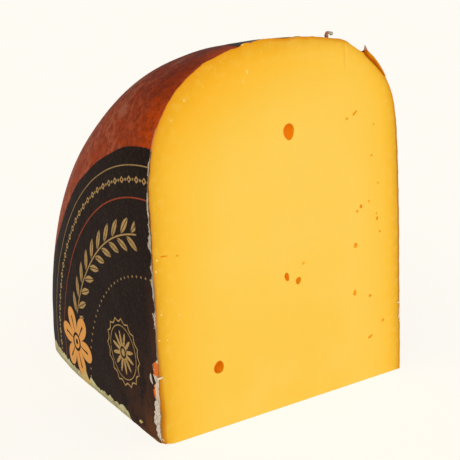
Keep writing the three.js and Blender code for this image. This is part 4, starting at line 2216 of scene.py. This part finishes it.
@dataclass
class RimBand:
    """The dark paper band round the crest of the rim.

    Attributes:
        wheel: The wheel that it is stuck on.
        low: Its edge nearer the label side, along the axle.
        high: Its other edge.
        lifts: Lifts of its inner and outer face over the rind.
        bite_at: Distance from the upright cut of a bite torn out of its near edge.
        bite_half: Half the bite's length.
        bite_depth: The bite's depth.
        steps: Its grid round the rim and across.
    """

    wheel: Wheel
    low: float = 33.6
    high: float = 66.5
    lifts: Pair = (0.02, 0.10)
    bite_at: float = 22.0
    bite_half: float = 11.5
    bite_depth: float = 9.5
    steps: tuple[int, int] = (180, 44)

    def build(self) -> Piece:
        """A strip over angle and axle, with slightly ragged ends and edges.

        Its near edge has a torn bite, depth exp(-((way - at) / half)^2), beside the upright cut.

        Returns:
            The finished piece.
        """
        angle = np.linspace(0, 1, self.steps[0])[:, None]
        across = np.linspace(0, 1, self.steps[1])[None, :]
        round_way = angle * self.wheel.radius * math.pi / 2
        from_cut = round_way.max() - round_way
        bite = self.bite_depth * np.exp(-(((from_cut - self.bite_at) / self.bite_half) ** 2))
        low = self.low + bite + 0.2 * ripple(round_way, (31.0, 11.0, 3.0), seed=41)
        high = self.high + 0.2 * ripple(round_way, (27.0, 12.0, 2.6), seed=42)
        along = low + (high - low) * across
        start = 1.0 + 0.3 * ripple(along[:1], (6.0, 2.0, 0.9), seed=43)
        stop = 0.35 + 0.2 * ripple(along[:1], (5.0, 2.2, 0.8), seed=44)
        turn = (start + (round_way.max() - start - stop) * angle) / self.wheel.radius
        radius = self.wheel.rim_at(along)
        inner, outer = (self.wheel.surface(along, radius, turn, lift) for lift in self.lifts)
        strip = Patchwork()
        strip.slab(outer, inner)
        return make_piece("rim_band_print", self.wheel, strip.welded(), Band())


# ---- Stage


@dataclass(frozen=True)
class Stage:
    """Pale floor, soft light and the camera.

    Attributes:
        wheel: The wheel whose frame the camera is placed in.
        eye: The camera's place, in millimetres.
        yaw: Turn of the view to the right of +Y, in degrees.
        pitch: Its fall, in degrees.
        roll: Its turn about the view, in degrees.
        lens: Focal length in millimetres.
        sensor: The sensor's width.
        floor_size: The floor's width, in metres.
        floor_drop: How far it lies below the wedge, in metres.
        floor_tone: Its colour.
        floor_glow: How brightly it shines, so that it shows no horizon.
        pale: Colour of that shine and of the surround.
        world_light: Strength of the surround.
        key_light: Strength of the key.
        key_aim: Direction that it shines in.
        key_spread: Angle that it covers in the sky, in degrees.
    """

    wheel: Wheel
    eye: Triple = (-121.93, -241.95, 145.60)
    yaw: float = 31.8045
    pitch: float = 15.48
    roll: float = -2.4255
    lens: float = 73.29
    sensor: float = 36.0
    floor_size: float = 60.0
    floor_drop: float = 0.0002
    floor_tone: Colour = srgb(120, 119, 116)
    floor_glow: float = 0.872
    pale: Colour = srgb(254, 251, 244)
    world_light: float = 0.50
    key_light: float = 1.2
    key_aim: Triple = (0.45, 0.75, -0.48)
    key_spread: float = 70.0

    def camera(self) -> None:
        """Makes the camera and lets the scene look through it."""
        yaw, pitch, roll = (math.radians(a) for a in (self.yaw, self.pitch, self.roll))
        level = math.cos(pitch)
        forward = Vector((math.sin(yaw) * level, math.cos(yaw) * level, -math.sin(pitch)))
        right = forward.cross(Vector((0, 0, 1))).normalized()
        up = right.cross(forward)
        tilted_right = right * math.cos(roll) + up * math.sin(roll)
        tilted_up = up * math.cos(roll) - right * math.sin(roll)
        pose = Matrix((tilted_right, tilted_up, -forward)).transposed().to_4x4()
        pose.translation = Vector(np.array(self.eye) * MM + np.array(self.wheel.origin))
        data = bpy.data.cameras.new("view")
        data.lens = self.lens
        data.sensor_width = self.sensor
        data.clip_start = 0.01
        data.clip_end = 100.0
        camera = bpy.data.objects.new("view", data)
        camera.matrix_world = pose
        bpy.context.scene.collection.objects.link(camera)
        bpy.context.scene.camera = camera

    def floor(self) -> None:
        """A wide pale floor at the wedge's base."""
        half = self.floor_size / 2
        height = self.wheel.origin[2] - self.floor_drop
        mesh = bpy.data.meshes.new("floor")
        ends = [(-half, -half, height), (half, -half, height), (half, half, height), (-half, half, height)]
        mesh.from_pydata(ends, [], [(0, 1, 2, 3)])
        finish = Finish("pale floor", self.wheel)
        finish.skin(self.floor_tone, 0.9, 0.0)
        finish.feed({"Emission Color": self.pale, "Emission Strength": self.floor_glow})
        mesh.materials.append(finish.material)
        floor = bpy.data.objects.new("floor", mesh)
        bpy.context.scene.collection.objects.link(floor)

    def light(self) -> None:
        """An even pale surround and one broad soft key from the front."""
        world = bpy.data.worlds.new("surround")
        world.use_nodes = True
        sky = world.node_tree.nodes["Background"]
        sky.inputs["Color"].default_value = self.pale
        sky.inputs["Strength"].default_value = self.world_light
        bpy.context.scene.world = world
        data = bpy.data.lights.new("key", "SUN")
        data.energy = self.key_light
        data.angle = math.radians(self.key_spread)
        key = bpy.data.objects.new("key", data)
        key.rotation_euler = Vector(self.key_aim).to_track_quat("-Z", "Y").to_euler()
        bpy.context.scene.collection.objects.link(key)

    def build(self) -> None:
        """Sets the stage."""
        bpy.context.scene.view_settings.view_transform = "Standard"
        self.camera()
        self.floor()
        self.light()


def main() -> None:
    """Builds every piece in order and reports each."""
    logging.basicConfig(level=logging.INFO, format="%(message)s")
    wheel = Wheel.from_frame("cheese_wedge")
    hand_over(Cheese(wheel).build(), wheel, "cheese", "cheese_wedge")
    for piece in TornCoat(wheel).build():
        hand_over(piece, wheel, "cheese", "cheese_wedge")
    hand_over(Crumbs(wheel).build(), wheel, "cheese")
    label_side, far_side = wheel.sides
    parts = ((label_side, "label_left", NEAR_STRANDS), (far_side, "label_right", FAR_STRANDS))
    for side, name, strands in parts:
        label = Label(wheel, side, name)
        for piece in label.build():
            hand_over(piece, wheel, "label", name)
        hand_over(Fibres(label, strands).build(), wheel, "label")
    hand_over(RimBand(wheel).build(), wheel, "band", "rim_band")
    Stage(wheel).build()


if __name__ == "__main__":
    main()
